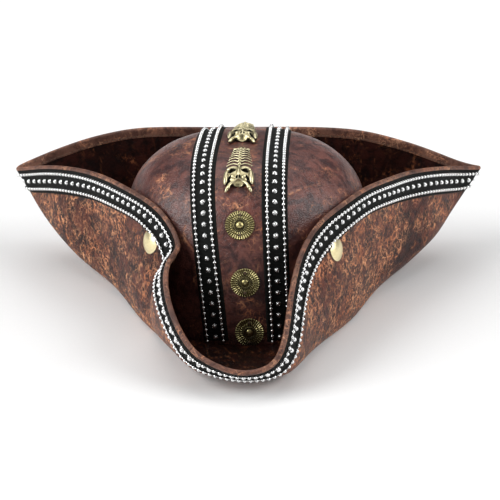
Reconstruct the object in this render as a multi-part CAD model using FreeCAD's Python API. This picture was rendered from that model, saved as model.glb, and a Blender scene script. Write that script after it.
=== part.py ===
import FreeCAD, Part
import math
import os

# A tricorn hat in millimetres. The origin is the centre of the head opening on the plane that the hat
# rests on. Seen from the front, +X is to the right. +Y points to the back and +Z is up.
# The brim is turned up on three sides: a spout in front (-Y) and a point at each rear corner.

V = FreeCAD.Vector

# ---- driving dimensions -------------------------------------------------------------------------------
HEAD_HALF_WIDTH = 88.0      # crown's outer half width at the base
HEAD_HALF_DEPTH = 103.0     # crown's outer half depth at the base
CROWN_HEIGHT = 129.0        # top of the crown above the resting plane

CROWN_LEATHER = 1.2
INTERLINING = 1.4
CROWN_LINING = 0.6
SWEATBAND = 1.2
SWEATBAND_HEIGHT = 32.0
SEAM_TAPE_HEIGHT = 8.0
SEAM_TAPE = 0.5
STITCHES = 96
STITCH_DIAMETER = 0.6
STITCH_BELOW_TOP = 4.0

BRIM_CORE = 1.0             # stiff sheet in the middle of the brim
BRIM_LEATHER = 0.8          # each skin of the brim
BRIM_TO_CROWN_GAP = 0.3
BINDING_DEPTH = 6.0         # how far the turned edge reaches down the upper face
BINDING_UNDER = 0.9         # and down the under face, as far as the trim
BINDING_THICKNESS = 0.6

RIBBON_WIDTH = 20.0         # woven trim, the same on the brim and on the bands
RIBBON_THICKNESS = 0.8
RIBBON_BELOW_EDGE = 1.0     # the trim's outer edge to the brim sheets' edge
CHAIN_DIAMETER = 2.8
CHAIN_FROM_CENTRE = 6.3     # ball chain's centre line to the ribbon's centre line
STUD_DIAMETER = 3.8
STUD_HEIGHT = 1.6
STUD_PITCH = 8.7

CONCHO_DIAMETER = 22.5
CONCHO_THICKNESS = 1.1
CONCHO_HOLE = 1.8
CONCHO_HOLE_SHARE = 0.68    # where its two sewing holes are, as a share of the radius
CONCHO_RING_SHARE = 0.42    # where its raised ring is
CONCHO_RING_THICKNESS = 0.6
CONCHO_BOSS_BALL = 3.4
CONCHO_BOSS_SUNK = 0.6
CONCHO_NOTCHES = 36
CONCHO_NOTCH_RADIUS = 0.5
SEAT_GAP = 0.3              # under each disc and charm, where its stitches pass
THREAD_CLEARANCE = 0.1

# Each charm is cast to the curve of the crown. Distances run along it, from the top of its skull.
SKULL_HALF_WIDTH = 11.8
SKULL_HALF_LENGTH = 12.5
SKULL_HEIGHT = 7.0
SKULL_AT = -12.5
JAW_RADIUS = 7.0
JAW_HEIGHT = 5.0
JAW_BELOW = 8.5             # jaw's centre below the skull's
MOUTH_RADIUS = 4.6
MOUTH_BELOW = 12.0
MOUTH_FLOOR = 1.2
EYE_RADIUS = 2.7
EYE_SIDE = 4.6
EYE_HEIGHT = 6.6
SPINE_RADIUS = 1.5
SPINE_HEIGHT = 2.2
VERTEBRA_RADIUS = 1.9
RIB_PAIRS = 7
RIB_START = 3.5
RIB_PITCH = 4.3
RIB_RADIUS = 0.85
RIB_REACH = 9.8             # lowest rib's reach to the side
RIB_TAPER = 0.55            # each rib above it is shorter by this
RIB_HEIGHT = 3.4
RIB_SWEEP = -2.0
RIB_DROP = -2.6
EYELET_AT = 35.5
EYELET_RADIUS = 2.8
EYELET_HOLE = 1.3
EYELET_THICKNESS = 2.4
WALK_STEP = 2.0             # step of a walk over the crown
REACH_STEPS = 12            # steps that bring a straight line onto the crown
POLE_PASSES = 40            # passes that settle a curve's poles
CUTTER = 600.0              # edge of a cutting block, larger than the hat

RIVET_CAP_DIAMETER = 18.5
RIVET_CAP_HEIGHT = 2.4
RIVET_POST_DIAMETER = 5.0
RIVET_BACK_DIAMETER = 12.0
RIVET_BACK_THICKNESS = 1.0
RIVET_BACK_GAP = 1.2        # inside the lining, because the post meets it at a slant
RIVET_HOLE_CLEARANCE = 0.05

# ---- crown shape --------------------------------------------------------------------------------------
# Control rows of the crown: height, and the half width and half depth there as shares of the base's.
CROWN_PROFILE = [
    (0.0, 1.00, 1.00),
    (15.0, 1.01, 0.99),
    (40.0, 1.03, 0.965),
    (65.0, 1.05, 0.925),
    (84.0, 1.055, 0.88),
    (99.0, 1.00, 0.825),
    (113.0, 0.88, 0.725),
    (123.5, 0.70, 0.58),
    (128.5, 0.44, 0.37),
    (CROWN_HEIGHT, 0.20, 0.17),
    (CROWN_HEIGHT, 0.05, 0.043),
]
CROWN_AROUND = 72           # sample sections around the crown
CROWN_UP = 24               # samples from its base to its top
RAY_CENTRE_HEIGHT = 40.0    # the seams are traced by rays from this height on the axis

# Each seam of the centre panel lies in one plane, x = at_front + lean * z + drift * (y - front).
LEFT_SEAM = {"at_front": -23.0, "lean": -0.118, "drift": 0.072}
RIGHT_SEAM = {"at_front": 25.0, "lean": -0.05, "drift": 0.045}

# ---- brim shape ---------------------------------------------------------------------------------------
# One section of the brim at each station, from the crown's base out to the toe, where the brim turns up,
# and from there to the edge. angle is the place on the crown's base ring, in degrees from +X.
# toe and edge are points of the brim's middle sheet. belly pushes the wall between them sideways.
FRONT = [(-90, (0, -170, 3), (-3, -199.5, 21), (0, 0))]
RIGHT_SPOUT = [
    (-81, (26, -165, 2.5), (15, -197, 24.5), (0, 0)),
    (-71, (38, -145, 1), (25.5, -186, 39), (3, -2)),
    (-61, (48, -124, 0), (32, -157, 65), (5, 0)),
    (-50, (58, -101, 0), (39, -118, 83), (7, 0)),
    (-38, (70, -74, 0), (53, -84, 93.5), (7, -3)),
    (-24, (83, -46, 0), (71.5, -58, 100), (3, -3)),
    (-8, (96.5, -12, 0), (95, -20, 101), (3, -1)),
]
RIGHT_REAR = [
    (8, (114, 20, 1), (122, 30, 93), (3, -1)),
    (22, (137, 50, 6), (152, 73, 83), (2, -2)),
    (33, (156, 80, 20), (179, 107, 71), (0, 0)),
    (40, (166, 98, 36), (192, 122, 66), (0, 0)),
    (47, (154, 106, 24), (177, 125, 69), (0, 0)),
    (58, (114, 119, 6), (140, 129, 83), (0, 0)),
    (70, (72, 125, 0), (92, 131, 95.5), (0, 0)),
    (80, (36, 122, 0), (46, 132, 98), (0, 0)),
]
BACK = [(90, (0, 121, 0), (0, 132, 98), (0, 0))]
LEFT_REAR = [
    (100, (-36, 122, 0), (-46, 132, 98), (0, 0)),
    (110, (-72, 125, 0), (-92, 131, 97), (0, 0)),
    (122, (-114, 119, 6), (-140, 129, 86), (0, 0)),
    (133, (-154, 106, 24), (-178, 125, 71), (0, 0)),
    (140, (-166, 98, 36), (-190, 122, 65), (0, 0)),
    (147, (-156, 80, 20), (-179, 107, 71), (0, 0)),
    (158, (-137, 50, 6), (-152, 73, 84), (-2, -2)),
    (172, (-114, 20, 1), (-119, 26, 95), (-3, -1)),
]
LEFT_SPOUT = [
    (188, (-97, -12, 0), (-92.5, -22, 100.5), (-3, -1)),
    (204, (-84, -47, 0), (-65.5, -62, 97), (-4, -3)),
    (217, (-74, -73, 0), (-50.5, -84, 79.5), (-6, -3)),
    (226, (-67, -89, 0), (-54, -104, 76), (-10, 0)),
    (234, (-61, -104, 0), (-59, -130, 71), (-9, 0)),
    (243, (-51, -124, 0), (-54, -162, 54), (-5, 0)),
    (252, (-41, -145, 1), (-40, -184, 34), (-3, -2)),
    (261, (-28, -164, 2.5), (-20, -196.5, 24.5), (0, 0)),
]
STATIONS = FRONT + RIGHT_SPOUT + RIGHT_REAR + BACK + LEFT_REAR + LEFT_SPOUT

LOW_WALL = 0.33             # share of the wall's height at its lower control point
HIGH_WALL = 0.72            # and at its upper one
LOW_WALL_PUSH = 2.0         # rounds the turn-up outwards
FLAT_START = 6.0            # the brim leaves the crown level for this far
FLAT_START_SHARE = 0.4      # or for this share of the way to the toe, if that is less
SHEET_SHORT = 0.035         # the sheets end this far, in section spans, inside the bound edge

AROUND = 162                # sample sections around the brim
ACROSS = 19                 # samples along one section
TRIM_ACROSS = 4             # samples across the ribbon
STRIP_ACROSS = 3            # samples across a chain or a turned edge

# ---- ornaments ------------------------------------------------------------------------------------------
# Each disc's x and height on the front of the crown. The top of each charm's skull, x and y.
CONCHOS = {
    "concho_upper": (-5.1, 97.0),
    "concho_middle": (-1.4, 52.0),
    "concho_lower": (1.9, 13.5),
}
ORNAMENTS = {
    "skull_ornament_front": (-5.9, -54.0),
    "skull_ornament_top": (-2.9, 19.0),
}
CHARM_HEADING = V(0.05, 1, 0)
CONCHO_LOOK = (1.1, -115.0, 0.2)    # a point in front of each disc, from its x and height
RIVET_SEATS = {"left": V(-77.0, -60.0, 67.0), "right": V(66.3, -76.0, 73.3)}
WALL_START = 8                      # first sample of a brim section that is on its wall

# ---- small helpers ----------------------------------------------------------------------------------------


def save(name, shape):
    shape.exportStep("parts/" + name + ".step")
    print(name, "valid", shape.isValid(), "solids", len(shape.Solids), "volume", round(shape.Volume, 1))


def periodic_poles(points):
    """Poles of the closed uniform cubic curve that passes through these points.

    Each point is (the pole before + 4 times its own pole + the pole after) / 6, solved here for its own pole.
    """
    poles = list(points)
    count = len(points)
    for _ in range(POLE_PASSES):
        for i in range(count):
            neighbours = poles[i - 1] + poles[(i + 1) % count]
            poles[i] = (points[i] * 6.0 - neighbours) * 0.25
    return poles


def ring_surface(sections):
    """Closed surface through a ring of sections. Each section's points are its poles."""
    count = len(sections)
    across = len(sections[0])
    degree = min(3, across - 1)
    spans = across - degree
    columns = [periodic_poles([section[j] for section in sections]) for j in range(across)]
    poles = [[column[i] for column in columns] for i in range(count)]
    around_knots = [float(i) for i in range(count + 1)]
    across_knots = [float(i) for i in range(spans + 1)]
    across_mults = [degree + 1] + [1] * (spans - 1) + [degree + 1]
    surface = Part.BSplineSurface()
    surface.buildFromPolesMultsKnots(
        poles, [1] * (count + 1), across_mults, around_knots, across_knots, True, False, 3, degree)
    return surface


def ring_skin(sections):
    """Face through a closed ring of sections."""
    return ring_surface(sections).toShape()


def skin_surface(sections):
    """Open surface through a grid of points."""
    surface = Part.BSplineSurface()
    surface.interpolate(sections)
    return surface


def rim(skin, point):
    """The closed edge of a ring-shaped face that passes through this point."""
    rings = [edge for edge in skin.Edges if edge.isClosed()]
    return min(rings, key=lambda edge: edge.distToShape(Part.Vertex(point))[0])


def closed_solid(faces):
    shell = Part.makeShell(faces)
    shell.sewShape()
    solid = Part.makeSolid(shell)
    if solid.Volume < 0:
        solid.reverse()
    return solid


def joining_strip(inner, outer, end):
    """Narrow face between the same rim of two rings of sections."""
    return ring_skin([[low[end], high[end]] for low, high in zip(inner, outer)])


def ring_solid(inner, outer):
    """Solid between two rings of sections, closed by a strip along both rims."""
    faces = [ring_skin(inner), ring_skin(outer)]
    faces.append(joining_strip(inner, outer, 0))
    faces.append(joining_strip(inner, outer, -1))
    return closed_solid(faces)


def border(surface):
    """The four edges of an open patch."""
    u0, u1, v0, v1 = surface.bounds()
    curves = [surface.uIso(u0), surface.uIso(u1), surface.vIso(v0), surface.vIso(v1)]
    return [curve.toShape() for curve in curves]


def patch_solid(inner, outer):
    """Solid between two open grids of points, closed by four ruled strips."""
    inner_surface = skin_surface(inner)
    outer_surface = skin_surface(outer)
    faces = [inner_surface.toShape(), outer_surface.toShape()]
    for low, high in zip(border(inner_surface), border(outer_surface)):
        faces.append(Part.makeRuledSurface(low, high))
    return closed_solid(faces)


# ---- brim -------------------------------------------------------------------------------------------------


def brim_section(station):
    """Six control points of the middle sheet, from the crown's base to the edge."""
    angle, toe, edge, belly = station
    middle = BRIM_CORE / 2 + BRIM_LEATHER
    turn = math.radians(angle)
    gap = BRIM_TO_CROWN_GAP
    base = V((HEAD_HALF_WIDTH + gap) * math.cos(turn), (HEAD_HALF_DEPTH + gap) * math.sin(turn), middle)
    toe = V(*toe) + V(0, 0, middle)
    edge = V(*edge)
    out = V(toe.x - base.x, toe.y - base.y, 0)
    reach = out.Length
    out.normalize()
    flat = base + out * min(FLAT_START, reach * FLAT_START_SHARE)
    wall = edge - toe
    push = V(belly[0], belly[1], 0)
    low = toe + wall * LOW_WALL + out * LOW_WALL_PUSH + push
    high = toe + wall * HIGH_WALL + push
    return [base, flat, toe, low, high, edge]


def sample_brim():
    """Points and outward normals of the middle sheet, section by section."""
    surface = ring_surface([brim_section(station) for station in STATIONS])
    u_end = float(len(STATIONS))
    v_end = 3.0 - SHEET_SHORT
    points = []
    normals = []
    for i in range(AROUND):
        u = u_end * i / AROUND
        points.append([surface.value(u, v_end * j / (ACROSS - 1)) for j in range(ACROSS)])
        normals.append([surface.normal(u, v_end * j / (ACROSS - 1)) for j in range(ACROSS)])
    if normals[0][2].z > 0:
        normals = [[n * -1.0 for n in row] for row in normals]
    return points, normals


def brim_offset(points, normals, distance):
    """The sheet moved along its normals. Positive is towards the underside."""
    return [[p + n * distance for p, n in zip(prow, nrow)] for prow, nrow in zip(points, normals)]


def along_from_edge(prow, nrow, distance):
    """Point and normal on one section at this distance from the brim's edge."""
    walked = 0.0
    for j in range(len(prow) - 1, 0, -1):
        step = (prow[j] - prow[j - 1]).Length
        if walked + step >= distance:
            share = (distance - walked) / step
            point = prow[j] * (1 - share) + prow[j - 1] * share
            normal = nrow[j] * (1 - share) + nrow[j - 1] * share
            normal.normalize()
            return point, normal
        walked += step
    return prow[0], nrow[0]


def brim_strip(points, normals, near, far, offset, samples):
    """Ring of short sections that follow the brim between two distances from its edge."""
    ring = []
    for prow, nrow in zip(points, normals):
        row = []
        for k in range(samples):
            distance = near + (far - near) * k / (samples - 1)
            point, normal = along_from_edge(prow, nrow, distance)
            row.append(point + normal * offset)
        ring.append(row)
    return ring


def strip_solid(points, normals, near, far, low, high, samples):
    return ring_solid(brim_strip(points, normals, near, far, low, samples),
                      brim_strip(points, normals, near, far, high, samples))


def make_brim(points, normals):
    half_core = BRIM_CORE / 2
    skin = half_core + BRIM_LEATHER
    upper_face = brim_offset(points, normals, -skin)
    core_top = brim_offset(points, normals, -half_core)
    core_bottom = brim_offset(points, normals, half_core)
    under_face = brim_offset(points, normals, skin)
    return {
        "brim_upper_leather": ring_solid(upper_face, core_top),
        "brim_core": ring_solid(core_top, core_bottom),
        "brim_under_leather": ring_solid(core_bottom, under_face),
    }


def binding_ring(points, normals, radius):
    """U-shaped sections that wrap the edge at one radius."""
    ring = []
    for prow, nrow in zip(points, normals):
        section = []
        for distance in (BINDING_UNDER, BINDING_UNDER / 2):
            point, normal = along_from_edge(prow, nrow, distance)
            section.append(point + normal * radius)
        away = (prow[-1] - prow[-2]).normalize()
        for degrees in (0, 45, 90, 135, 180):
            turn = math.radians(degrees)
            section.append(prow[-1] + nrow[-1] * (radius * math.cos(turn)) + away * (radius * math.sin(turn)))
        for share in (0.25, 0.5, 0.75, 1.0):
            point, normal = along_from_edge(prow, nrow, BINDING_DEPTH * share)
            section.append(point - normal * radius)
        ring.append(section)
    return ring


def make_binding(points, normals):
    """Leather strip turned over the edge, a U in section, as one ring."""
    skin = BRIM_CORE / 2 + BRIM_LEATHER
    return ring_solid(binding_ring(points, normals, skin),
                      binding_ring(points, normals, skin + BINDING_THICKNESS))


def stud_shape():
    """Dome stud in its own frame, with its seat at the origin and +Z outwards."""
    radius = STUD_DIAMETER / 2
    ball_radius = (radius * radius + STUD_HEIGHT * STUD_HEIGHT) / (2 * STUD_HEIGHT)
    top = V(0, 0, STUD_HEIGHT)
    turn = math.acos((ball_radius - STUD_HEIGHT) / ball_radius) / 2
    middle = V(ball_radius * math.sin(turn), 0, STUD_HEIGHT - ball_radius * (1 - math.cos(turn)))
    rim_point = V(radius, 0, 0)
    dome = Part.Arc(top, middle, rim_point).toShape()
    seat = Part.makeLine(rim_point, V(0, 0, 0))
    axis = Part.makeLine(V(0, 0, 0), top)
    face = Part.Face(Part.Wire([dome, seat, axis]))
    return face.revolve(V(0, 0, 0), V(0, 0, 1), 360)


def studs_at(places):
    """One stud on each (point, normal) place."""
    template = stud_shape()
    studs = []
    for point, normal in places:
        one = template.copy()
        one.Placement = FreeCAD.Placement(point, FreeCAD.Rotation(V(0, 0, 1), normal))
        studs.append(one)
    return Part.makeCompound(studs)


def even_walk(path, pitch):
    """Places at an even pitch along a path of (point, normal) pairs."""
    places = []
    carried = 0.0
    for (p, n), (q, m) in zip(path, path[1:]):
        step = (q - p).Length
        while carried < step:
            share = carried / step
            normal = n * (1 - share) + m * share
            normal.normalize()
            places.append((p * (1 - share) + q * share, normal))
            carried += pitch
        carried -= step
    return places


def make_brim_trim(points, normals):
    seat = BRIM_CORE / 2 + BRIM_LEATHER
    top = seat + RIBBON_THICKNESS
    centre = RIBBON_BELOW_EDGE + RIBBON_WIDTH / 2
    half_chain = CHAIN_DIAMETER / 2
    pieces = {"brim_trim_ribbon": strip_solid(points, normals, RIBBON_BELOW_EDGE,
                                              RIBBON_BELOW_EDGE + RIBBON_WIDTH, seat, top, TRIM_ACROSS)}
    for name, line in (("upper", centre - CHAIN_FROM_CENTRE), ("lower", centre + CHAIN_FROM_CENTRE)):
        pieces["brim_trim_" + name + "_chain"] = strip_solid(
            points, normals, line - half_chain, line + half_chain, top, top + CHAIN_DIAMETER, STRIP_ACROSS)
    path = []
    for prow, nrow in zip(points + points[:1], normals + normals[:1]):
        point, normal = along_from_edge(prow, nrow, centre)
        path.append((point + normal * top, normal))
    length = sum((q[0] - p[0]).Length for p, q in zip(path, path[1:]))
    count = round(length / STUD_PITCH)
    places = even_walk(path, length / count)[:count]
    pieces["brim_trim_studs"] = studs_at(places)
    return pieces


# ---- crown ------------------------------------------------------------------------------------------------


def crown_surface():
    """Outer surface of the crown as one closed ring of profiles."""
    sections = []
    count = 24
    for i in range(count):
        turn = 2 * math.pi * i / count
        sections.append([V(HEAD_HALF_WIDTH * wide * math.cos(turn), HEAD_HALF_DEPTH * deep * math.sin(turn),
                           height) for height, wide, deep in CROWN_PROFILE])
    return ring_surface(sections), float(count), float(len(CROWN_PROFILE) - 3)


def crown_skin(crown, inset):
    """Sampled sections of the crown moved inwards, level at the base and at the flat top."""
    surface, u_end, v_end = crown
    ring = []
    for i in range(CROWN_AROUND):
        u = u_end * i / CROWN_AROUND
        section = []
        for j in range(CROWN_UP):
            v = v_end * j / (CROWN_UP - 1)
            section.append(surface.value(u, v) - crown_normal(surface, u, v) * inset)
        section[0].z = 0.0
        top = surface.value(u, v_end)
        section[-1] = V(top.x, top.y, CROWN_HEIGHT - inset)
        ring.append(section)
    return ring


def crown_normal(surface, u, v):
    point = surface.value(u, v)
    normal = surface.normal(u, v)
    if normal.x * point.x + normal.y * point.y + normal.z < 0:
        normal = normal * -1.0
    return normal


def crown_layer(crown, outer_inset, inner_inset):
    """One closed layer of the crown, open at the head opening."""
    faces = []
    rings = [crown_skin(crown, inset) for inset in (outer_inset, inner_inset)]
    for ring in rings:
        skin = ring_skin(ring)
        faces.append(skin)
        faces.append(Part.Face(Part.Wire([rim(skin, ring[0][-1])])))
    outer_base, inner_base = [Part.Face(Part.Wire([rim(ring_skin(ring), ring[0][0])])) for ring in rings]
    faces.append(outer_base.cut(inner_base).Faces[0])
    return closed_solid(faces)


def crown_ring(crown, outer_inset, inner_inset, height):
    """Band inside the crown from the resting plane up to a height."""
    rings = []
    surface, u_end, _ = crown
    for inset in (outer_inset, inner_inset):
        ring = []
        for i in range(CROWN_AROUND):
            u = u_end * i / CROWN_AROUND
            section = []
            for share in (0.0, 0.33, 0.67, 1.0):
                wanted = height * share
                v = profile_place(surface, u, wanted)
                point = surface.value(u, v) - crown_normal(surface, u, v) * inset
                point.z = wanted
                section.append(point)
            ring.append(section)
        rings.append(ring)
    return ring_solid(rings[0], rings[1])


def profile_place(surface, u, height):
    """Parameter up the profile where it reaches a height."""
    low = 0.0
    high = float(len(CROWN_PROFILE) - 3)
    for _ in range(30):
        middle = (low + high) / 2
        if surface.value(u, middle).z < height:
            low = middle
        else:
            high = middle
    return low


def beyond_seam(seam):
    """Large block on the +X side of a seam's plane."""
    normal = V(1, -seam["drift"], -seam["lean"]).normalize()
    on_plane = V(seam["at_front"], -HEAD_HALF_DEPTH, 0)
    block = Part.makeBox(CUTTER, CUTTER, CUTTER, V(0, -CUTTER / 2, -CUTTER / 2))
    block.Placement = FreeCAD.Placement(on_plane, FreeCAD.Rotation(V(1, 0, 0), normal))
    return block


def make_crown(crown):
    leather = crown_layer(crown, 0.0, CROWN_LEATHER)
    left_of = beyond_seam(LEFT_SEAM)
    right_of = beyond_seam(RIGHT_SEAM)
    deep = CROWN_LEATHER + INTERLINING
    lining = deep + CROWN_LINING
    band = lining + SWEATBAND
    right_half = leather.common(left_of)
    return {
        "crown_left_panel": leather.cut(left_of),
        "crown_centre_panel": right_half.cut(right_of),
        "crown_right_panel": right_half.common(right_of),
        "crown_interlining": crown_layer(crown, CROWN_LEATHER, deep),
        "crown_lining": crown_layer(crown, deep, lining),
        "sweatband": crown_ring(crown, lining, band, SWEATBAND_HEIGHT),
        "seam_tape": crown_ring(crown, band, band + SEAM_TAPE, SEAM_TAPE_HEIGHT),
    }


def make_sweatband_stitches(crown):
    """Row of separate stitches round the sweatband, near its top edge."""
    surface, u_end, _ = crown
    inset = CROWN_LEATHER + INTERLINING + CROWN_LINING + SWEATBAND + STITCH_DIAMETER / 2
    stitches = []
    for i in range(STITCHES):
        ends = []
        for share in (0.0, 0.6):
            u = u_end * (i + share) / STITCHES
            v = profile_place(surface, u, SWEATBAND_HEIGHT - STITCH_BELOW_TOP)
            ends.append(surface.value(u, v) - crown_normal(surface, u, v) * inset)
        run = ends[1] - ends[0]
        stitches.append(Part.makeCylinder(STITCH_DIAMETER / 2, run.Length, ends[0], run))
    return Part.makeCompound(stitches)


def seat_on(crown, outside):
    """Nearest point of the crown's outer surface, and the outward normal there."""
    surface = crown[0]
    u, v = surface.parameter(outside)
    return surface.value(u, v), crown_normal(surface, u, v)


def seam_path(crown, seam):
    """Points and normals where a seam's plane meets the crown, from the front base to the back base."""
    above_brim = BRIM_CORE + 2 * BRIM_LEATHER + 0.6
    low = math.atan2(above_brim - RAY_CENTRE_HEIGHT, HEAD_HALF_DEPTH)
    path = []
    steps = 60
    for i in range(steps + 1):
        turn = math.pi - low + (2 * low - math.pi) * i / steps
        ray = V(0, math.cos(turn), math.sin(turn))
        reach = HEAD_HALF_DEPTH
        for _ in range(6):
            y = ray.y * reach
            z = RAY_CENTRE_HEIGHT + ray.z * reach
            x = seam["at_front"] + seam["lean"] * z + seam["drift"] * (y + HEAD_HALF_DEPTH)
            point, normal = seat_on(crown, V(x, y, z))
            reach = point.y * ray.y + (point.z - RAY_CENTRE_HEIGHT) * ray.z
        path.append((point, normal))
    return path


def band_strip(crown, path, left, right, low, high, samples):
    """Strip along a seam between two sideways distances and two heights above the crown."""
    inner = []
    outer = []
    for i, (point, normal) in enumerate(path):
        ahead = path[min(i + 1, len(path) - 1)][0] - path[max(i - 1, 0)][0]
        side = ahead.cross(normal).normalize()
        inner_row = []
        outer_row = []
        for k in range(samples):
            across = left + (right - left) * k / (samples - 1)
            seat, out = seat_on(crown, point + side * across)
            inner_row.append(seat + out * low)
            outer_row.append(seat + out * high)
        inner.append(inner_row)
        outer.append(outer_row)
    return patch_solid(inner, outer)


def make_band(crown, side, seam):
    """Ribbon, two chains and studs that follow one seam over the crown."""
    path = seam_path(crown, seam)
    half = RIBBON_WIDTH / 2
    half_chain = CHAIN_DIAMETER / 2
    top = RIBBON_THICKNESS
    pieces = {side + "_band_ribbon": band_strip(crown, path, -half, half, 0.0, top, TRIM_ACROSS)}
    for name, line in (("left", -CHAIN_FROM_CENTRE), ("right", CHAIN_FROM_CENTRE)):
        pieces[side + "_band_" + name + "_chain"] = band_strip(
            crown, path, line - half_chain, line + half_chain, top, top + CHAIN_DIAMETER, STRIP_ACROSS)
    raised = [(point + normal * top, normal) for point, normal in path]
    pieces[side + "_band_studs"] = studs_at(even_walk(raised, STUD_PITCH))
    return pieces


# ---- ornaments --------------------------------------------------------------------------------------------


def stand_at(shape, position, normal, up):
    """Move a shape from its own frame, +Z out of the hat and +Y up, to a seat."""
    right = up.cross(normal).normalize()
    true_up = normal.cross(right)
    matrix = FreeCAD.Matrix(
        right.x, true_up.x, normal.x, position.x,
        right.y, true_up.y, normal.y, position.y,
        right.z, true_up.z, normal.z, position.z,
        0, 0, 0, 1)
    placed = shape.copy()
    placed.Placement = FreeCAD.Placement(matrix)
    return placed


def concho():
    """Stamped disc with a raised ring, a domed boss, a notched rim and two sewing holes."""
    radius = CONCHO_DIAMETER / 2
    through = 4 * CONCHO_THICKNESS
    disc = Part.makeCylinder(radius, CONCHO_THICKNESS)
    ring = Part.makeTorus(radius * CONCHO_RING_SHARE, CONCHO_RING_THICKNESS, V(0, 0, CONCHO_THICKNESS))
    above_seat = Part.makeCylinder(CONCHO_BOSS_BALL, CONCHO_BOSS_BALL)
    boss = Part.makeSphere(CONCHO_BOSS_BALL, V(0, 0, -CONCHO_BOSS_SUNK)).common(above_seat)
    disc = disc.fuse([ring, boss])
    cutters = [Part.makeCylinder(CONCHO_HOLE / 2, through, V(0, y, -1)) for y in concho_holes()]
    notch_at = radius + CONCHO_NOTCH_RADIUS / 2
    for i in range(CONCHO_NOTCHES):
        turn = 2 * math.pi * i / CONCHO_NOTCHES
        at = V(notch_at * math.cos(turn), notch_at * math.sin(turn), -1)
        cutters.append(Part.makeCylinder(CONCHO_NOTCH_RADIUS, through, at))
    return disc.cut(cutters)


def concho_holes():
    hole_at = CONCHO_DIAMETER / 2 * CONCHO_HOLE_SHARE
    return (-hole_at, hole_at)


def thread_knot(y):
    """Sewn dot of thread that fills one hole."""
    radius = CONCHO_HOLE / 2 - THREAD_CLEARANCE
    return Part.makeCylinder(radius, CONCHO_THICKNESS + 2 * SEAT_GAP, V(0, y, -SEAT_GAP))


def walk_over(crown, start, distance):
    """Seat and normal at a distance along the crown from a start, towards CHARM_HEADING."""
    position, normal = seat_on(crown, V(start[0], start[1], CROWN_HEIGHT))
    steps = max(1, math.ceil(abs(distance) / WALK_STEP))
    for _ in range(steps):
        ahead = (CHARM_HEADING - normal * CHARM_HEADING.dot(normal)).normalize()
        position, normal = seat_on(crown, position + ahead * (distance / steps))
    return position + normal * SEAT_GAP, normal


def skull():
    """Half ellipsoid with a jaw, hollow eyes and an open mouth, in its own frame."""
    stretch = FreeCAD.Matrix()
    stretch.scale(SKULL_HALF_WIDTH, SKULL_HALF_LENGTH, SKULL_HEIGHT)
    bone = Part.makeSphere(1.0).transformGeometry(stretch)
    side = 2 * SKULL_HALF_LENGTH
    bone = bone.common(Part.makeBox(2 * side, 2 * side, side, V(-side, -side, 0)))
    bone = bone.fuse(Part.makeCylinder(JAW_RADIUS, JAW_HEIGHT, V(0, -JAW_BELOW, 0)))
    eyes = [Part.makeSphere(EYE_RADIUS, V(way * EYE_SIDE, 0, EYE_HEIGHT)) for way in (-1, 1)]
    mouth = Part.makeCylinder(MOUTH_RADIUS, side, V(0, -MOUTH_BELOW, MOUTH_FLOOR))
    return bone.cut(eyes + [mouth])


def rib_pair(reach):
    """Two ribs that slope from the spine down to the seat."""
    ribs = []
    for way in (-1, 1):
        run = V(way * reach, RIB_SWEEP, RIB_DROP)
        ribs.append(Part.makeCylinder(RIB_RADIUS, run.Length, V(0, 0, RIB_HEIGHT), run))
    return ribs


def skull_ornament(crown, start):
    """Generic cast charm: a skull with its mouth down, and above it a spine with ribs and an eyelet."""
    skull_seat, skull_normal = walk_over(crown, start, SKULL_AT)
    pieces = [stand_at(skull(), skull_seat, skull_normal, CHARM_HEADING)]
    joints = [skull_seat + skull_normal * SPINE_HEIGHT]
    for i in range(RIB_PAIRS):
        seat, normal = walk_over(crown, start, RIB_START + i * RIB_PITCH)
        joints.append(seat + normal * SPINE_HEIGHT)
        for one in rib_pair(RIB_REACH - i * RIB_TAPER):
            pieces.append(stand_at(one, seat, normal, CHARM_HEADING))
    eyelet_seat, eyelet_normal = walk_over(crown, start, EYELET_AT)
    joints.append(eyelet_seat + eyelet_normal * SPINE_HEIGHT)
    pieces.append(Part.makeCylinder(EYELET_RADIUS, EYELET_THICKNESS, eyelet_seat, eyelet_normal))
    for low, high in zip(joints, joints[1:]):
        pieces.append(Part.makeCylinder(SPINE_RADIUS, (high - low).Length, low, high - low))
        pieces.append(Part.makeSphere(VERTEBRA_RADIUS, low))
    charm = pieces[0].fuse(pieces[1:])
    hole_start = eyelet_seat - eyelet_normal * SKULL_HEIGHT
    hole = Part.makeCylinder(EYELET_HOLE, 2 * SKULL_HEIGHT, hole_start, eyelet_normal)
    thread = Part.makeCylinder(EYELET_HOLE - THREAD_CLEARANCE, EYELET_THICKNESS, eyelet_seat, eyelet_normal)
    return charm.cut(hole), thread


def make_ornaments(crown):
    pieces = {}
    threads = []
    base = concho()
    sideways, in_front, slope = CONCHO_LOOK
    for name, (x, height) in CONCHOS.items():
        position, normal = seat_on(crown, V(x * sideways, in_front + slope * height, height))
        position = position + normal * SEAT_GAP
        pieces[name] = stand_at(base, position, normal, V(0, 0, 1))
        for y in concho_holes():
            threads.append(stand_at(thread_knot(y), position, normal, V(0, 0, 1)))
    for name, start in ORNAMENTS.items():
        pieces[name], thread = skull_ornament(crown, start)
        threads.append(thread)
    pieces["ornament_threads"] = Part.makeCompound(threads)
    return pieces


# ---- rivets -----------------------------------------------------------------------------------------------


def rivet_cap():
    radius = RIVET_CAP_DIAMETER / 2
    ball = (radius * radius + RIVET_CAP_HEIGHT * RIVET_CAP_HEIGHT) / (2 * RIVET_CAP_HEIGHT)
    dome = Part.makeSphere(ball, V(0, 0, RIVET_CAP_HEIGHT - ball))
    return dome.common(Part.makeCylinder(radius, 2 * RIVET_CAP_HEIGHT))


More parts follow.
